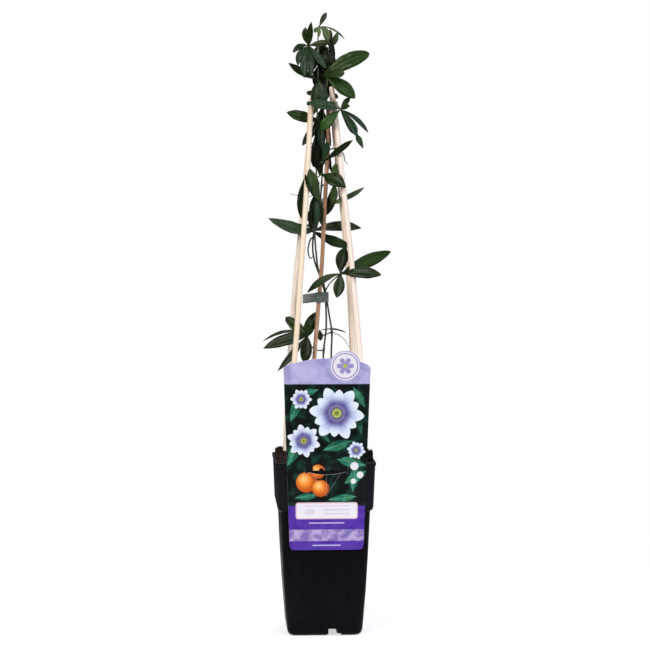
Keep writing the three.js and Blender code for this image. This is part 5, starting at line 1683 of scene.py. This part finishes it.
def makeLeafFinish(name, face):
    settings = leafSettings
    dark, light, freshTint, paleSheenTint, veinTint = face["tints"]
    material, tree, shader = newMaterial(name, {**settings["shine"], "Specular IOR Level": face["gloss"],
                                                "Coat Weight": face["coat"]})
    mood = splitVector(tree, readAttribute(tree, "lobeLook")["Vector"])
    tone = splitVector(tree, readAttribute(tree, "lobeTone")["Vector"])
    veins = useGroup(tree, veinGroup, map=readAttribute(tree, "lobeMap")["Vector"])
    spot = objectPlace(tree)
    cloud, fine, swell = (grain(tree, spot, settings[key]) for key in ("cloud", "fine", "swell"))
    base = blend(tree, cloud, dark, light)
    # blends in the lobe's own colours, then the pale tint with its painted sheen, then the painted shade
    for share, strength, tint in ((mood[0], settings["lightShare"], light), (mood[1], 1.0, freshTint),
                                  (mood[2], 1.0, settings["youngTint"]),
                                  (tone[1], settings["paleSheenShare"], paleSheenTint),
                                  (tone[0], settings["paintedShadeShare"], settings["deepTint"])):
        base = blend(tree, times(tree, share, strength), base, tint)
    ribTint, ribRelief = settings["midrib"]
    sideTint, sideRelief = settings["sideVein"]
    lines = mathNode(tree, "MAXIMUM", times(tree, veins["Midrib"], ribTint),
                     times(tree, veins["Veins"], sideTint))
    base = blend(tree, lines, base, veinTint)
    base = blend(tree, times(tree, veins["Rim"], settings["rimShare"]), base, settings["rimTint"])
    rough = blendValues(tree, cloud, face["roughness"], face["roughness"] + settings["roughSpan"])
    # lobes with painted shade are also a little rougher
    rough = mathNode(tree, "MULTIPLY_ADD", tone[0], settings["paintedShadeRough"], rough)
    plugInto(tree, shader, baseColor=base, roughness=rough)
    ridge = mathNode(tree, "MAXIMUM", times(tree, veins["Veins"], sideRelief),
                     times(tree, veins["Midrib"], ribRelief))
    ridge = times(tree, ridge, face["ridge"])
    height = mathNode(tree, "MULTIPLY_ADD", fine, settings["fineRelief"], ridge)
    height = mathNode(tree, "MULTIPLY_ADD", swell, settings["swellRelief"], height)
    addBump(tree, shader, height, settings["relief"])
    return material


def makeStemFinish(name, oldTints, newTints):
    settings = stemSettings
    material, tree, shader = newMaterial(name, settings["shine"])
    fibres = rodFibres(tree, acrossScale=settings["fibreAcross"], alongScale=settings["fibreAlong"])
    newer = rangeNode(tree, splitVector(tree, objectPlace(tree))[2], *settings["newGrowth"])
    old = blend(tree, fibres["Mask"], *oldTints)
    young = blend(tree, fibres["Mask"], *newTints)
    plugInto(tree, shader, baseColor=blend(tree, newer, old, young),
             roughness=blendValues(tree, fibres["Fine"], *settings["roughness"]))
    addBump(tree, shader, fibres["Fine"], settings["relief"])
    return material


stemSettings = {
    "radius": 1.1, "topRadius": 0.75, "petiole": 0.75, "hubRadius": 1.1, "hubFlare": 5,
    "footSwell": 0.2, "footFlare": 8, # where a leaf stalk leaves the stem
    "tendrilTip": 0.25, "nodeSwell": 0.33, "nodeSpan": 3.5,
    "steps": 500, "stalkSteps": 40, "tendrilSteps": 120,
    "tendrilSweep": {"sides": 8, "spacing": 0.7, "wobble": 0.05},
    "newGrowth": (0.42, 0.67), # in metres, the heights between which the young tints set in
    "shine": {"Specular IOR Level": 0.4},
    "fibreAcross": 5.0, "fibreAlong": 30.0, "roughness": (0.4, 0.6), "relief": (0.00015, 0.6),
    # name, old tints and young tints
    "stemSkin": ("stemSkin", ("#31352c", "#525a4b"), ("#46532f", "#7c8662")),
    "tendrilSkins": {
        "left": ("paleTendril", ("#6d7256", "#8f9474"), ("#7d8562", "#a3a984")),
        "right": ("darkTendril", ("#2c1f26", "#43303a"), ("#36231f", "#543a30")),
    },
    "sides": 10, "spacing": 1.2, "wobble": 0.18, "wobbleScale": 160.0, "seed": 6,
    "lines": {
        "left": [
            (2, 14, 150), (2, 14, 218), (1, 12, 264), (1, 10, 318), (4, 9, 348), (3.5, 6.2, 375),
            (2.6, 6, 390), (0, 6, 402), (-5, 6, 414), (-8, 5, 437), (-9.6, 4.4, 459), (-11, 4, 477),
            (-9, 3.4, 506), (-7.4, 3, 528), (-6, 3, 552), (-6, 2, 580), (-7, 0, 608), (-6, 0, 637),
            (-6, 0, 665), (-5.4, -1, 689)],
        "right": [
            (12, 10, 150), (12, 10, 218), (11, 10, 264), (10, 10, 318), (10.6, 10, 343), (8, 10, 360),
            (4.2, 10, 382), (-3, 10.4, 407), (-9.6, 10.4, 426), (-11.4, 11, 443), (-9, 11.4, 461),
            (-5, 11, 477), (-2.6, 10, 495), (-1, 9, 516), (0, 8.4, 540), (1, 7.4, 574), (1, 6.4, 603),
            (5, 4, 631), (6, 2, 654), (5.4, 3, 668)],
    },
}


def buildStems(side):
    # a stem with its leaf stalks
    settings = stemSettings
    places = leafPlaces[side]
    line = smoothLine(settings["lines"][side], settings["steps"])
    low = line[0].z
    high = line[-1].z
    radii = []
    for point in line:
        near = max(math.exp(-((point.z - growth["z"]) / settings["nodeSpan"]) ** 2) for growth in places)
        share = (point.z - low) / (high - low)
        plain = settings["radius"] + (settings["topRadius"] - settings["radius"]) * share ** 3
        radii.append(plain + settings["nodeSwell"] * near * plain)
    strands = [(line, radii)]
    for growth in places:
        start = pointAtHeight(line, growth["z"])
        stalk = smoothLine([start, *growth["path"]], settings["stalkSteps"])
        thick = []
        for step in range(len(stalk)):
            share = step / (len(stalk) - 1)
            hubSwell = math.exp(-((1 - share) * settings["hubFlare"]) ** 2)
            footSwell = math.exp(-(share * settings["footFlare"]) ** 2)
            thick.append(settings["petiole"] + hubSwell * (settings["hubRadius"] - settings["petiole"])
                         + settings["footSwell"] * footSwell)
        strands.append((stalk, thick))
    name = f"stems{side.capitalize()}"
    addPiece(name, sweepStrands(name, strands, settings, stemSkin), [f"vine_{side}"])


def buildTendrils(side):
    settings = stemSettings
    curls = []
    for thick, course in tendrilPlaces[side]:
        thread = smoothLine(course, settings["tendrilSteps"])
        last = len(thread) - 1
        sizes = [thick + (settings["tendrilTip"] - thick) * (step / last) ** 3 for step in range(last + 1)]
        curls.append((thread, sizes))
    name = f"tendrils{side.capitalize()}"
    skin = makeStemFinish(*settings["tendrilSkins"][side])
    mesh = sweepStrands(name, curls, {**settings, **settings["tendrilSweep"]}, skin)
    addPiece(name, mesh, [f"vine_{side}"])


def buildBlades(side):
    leafBm = bmesh.new()
    layers = {name: leafBm.verts.layers.float_vector.new(name)
              for name in ("lobeMap", "lobeLook", "lobeTone")}
    random.seed(leafSettings["seed"] + len(side))
    for number, growth in enumerate(leafPlaces[side]):
        for order, shape in enumerate(growth["lobes"]):
            growLobe(leafBm, layers, growth["path"][-1], shape, number, order)
    name = f"leaves{side.capitalize()}"
    mesh = bpy.data.meshes.new(name)
    leafBm.to_mesh(mesh)
    leafBm.free()
    for material in leafFaces:
        mesh.materials.append(material)
    addPiece(name, mesh, [f"vine_{side}"])


leafFaces = [makeLeafFinish("leafUpper", leafSettings["upper"]),
             makeLeafFinish("leafUnder", leafSettings["under"])]
stemSkin = makeStemFinish(*stemSettings["stemSkin"])
for side in ("left", "right"):
    buildStems(side)
    buildTendrils(side)
    buildBlades(side)
print("leaves and stems grown")

# floor, light and camera
stageSettings = {
    "floorSize": 6.0, # in metres
    "floorTints": ("#bebebe", "#c4c4c4"),
    "floorShine": {"Roughness": 0.9, "Specular IOR Level": 0.0, "Emission Color": (1, 1, 1, 1),
                   "Emission Strength": 0.6},
    "speck": (40.0, 3.0, 0.3, 0.7), "skyLight": 0.34,
    "skyFoot": "#4a4d52",
    "skyFrom": -0.2, "skyTo": 0.9, # upward share of a direction where the dark foot ends and white starts
    "fadeFrom": 0.25, # the floor fades into the white backdrop between these two distances, in metres
    "fadeTo": 0.8,
    "lights": [
        # place, width and height in metres, power in watts and tint
        ("keyLight", (-1.5, -1.9, 1.9), 1.6, 1.6, 70.0, "#fffaf2"),
        ("fillLight", (1.9, -1.6, 1.2), 1.5, 1.8, 40.0, "#f2f6ff"),
        ("backLight", (0.5, 1.8, 1.9), 1.6, 1.2, 26.0, "#f4f8ff"),
        ("glintLight", (0.9, -1.5, 2.4), 0.35, 0.35, 12.0, "#eef4ff"),
    ],
    "aim": (0.0, 0.0, 0.36), # in metres
    "cameraTarget": (2.2, 0, 351.6), "cameraDistance": 2400, "cameraTurn": -3.2,
    "cameraPitch": 3.27, "lens": 116.0, "sensorWidth": 36,
    "clipStart": 0.05, "clipEnd": 20, # in metres
}


def buildStage():
    settings = stageSettings
    floorMesh = bpy.data.meshes.new("floor")
    half = settings["floorSize"] / 2
    corners = [(-half, -half, 0), (half, -half, 0), (half, half, 0), (-half, half, 0)]
    floorMesh.from_pydata(corners, [], [(0, 1, 2, 3)])
    material, tree, shader = newMaterial("paleFloor", settings["floorShine"])
    speck = grain(tree, objectPlace(tree), settings["speck"])
    far = vectorNode(tree, "LENGTH", objectPlace(tree))["Value"]
    fade = rangeNode(tree, far, settings["fadeFrom"], settings["fadeTo"], toMin=1.0, toMax=0.0)
    plugInto(tree, shader, baseColor=blend(tree, speck, *settings["floorTints"]), alpha=fade)
    floorMesh.materials.append(material)
    floor = linkObject("floor", floorMesh)
    floor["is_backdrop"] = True
    for name, spot, width, height, power, tint in settings["lights"]:
        data = bpy.data.lights.new(name, "AREA")
        data.shape = "RECTANGLE"
        data.size = width
        data.size_y = height
        data.energy = power
        data.color = paint(tint)[:3]
        lamp = linkObject(name, data)
        lamp.location = spot
        lamp.rotation_euler = (Vector(settings["aim"]) - lamp.location).to_track_quat("-Z", "Y").to_euler()


def buildWorld():
    # the camera sees plain white, the plant is lit by a soft sky that is darker near the ground
    world = bpy.data.worlds.new("studio")
    bpy.context.scene.world = world
    world.use_nodes = True
    tree = world.node_tree
    tree.nodes.clear()
    ray = addNode(tree, "LightPath")["Is Camera Ray"]
    upward = splitVector(tree, addNode(tree, "TexCoord")["Generated"])[2]
    share = rangeNode(tree, upward, stageSettings["skyFrom"], stageSettings["skyTo"], "LINEAR")
    sky = blend(tree, share, stageSettings["skyFoot"], "#ffffff")
    soft = addNode(tree, "Background", n0=sky, n1=stageSettings["skyLight"])
    plain = addNode(tree, "Background", n0=(1, 1, 1, 1), n1=1.0)
    mixed = addNode(tree, "MixShader", n0=ray, n1=soft[0], n2=plain[0])
    addNode(tree, "OutputWorld", surface=mixed[0])


def buildCamera():
    settings = stageSettings
    data = bpy.data.cameras.new("camera")
    data.lens = settings["lens"]
    data.sensor_width = settings["sensorWidth"]
    data.clip_start = settings["clipStart"]
    data.clip_end = settings["clipEnd"]
    camera = linkObject("camera", data)
    turn = math.radians(settings["cameraTurn"])
    pitch = math.radians(settings["cameraPitch"])
    back = Vector((math.sin(turn) * math.cos(pitch), -math.cos(turn) * math.cos(pitch), math.sin(pitch)))
    target = place(settings["cameraTarget"])
    camera.location = target + back * settings["cameraDistance"] * millimetre
    camera.rotation_euler = back.to_track_quat("Z", "Y").to_euler()
    bpy.context.scene.camera = camera


buildStage()
buildWorld()
buildCamera()
bpy.context.scene.view_settings.view_transform = "Standard"

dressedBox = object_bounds()


def plainLists(value):
    if isinstance(value, dict):
        return {key: plainLists(part) for key, part in value.items()}
    if isinstance(value, (int, float, str)) or value is None:
        return value
    return [plainLists(part) for part in value]


{"packed": plainLists(packedBox), "dressed": plainLists(dressedBox)}
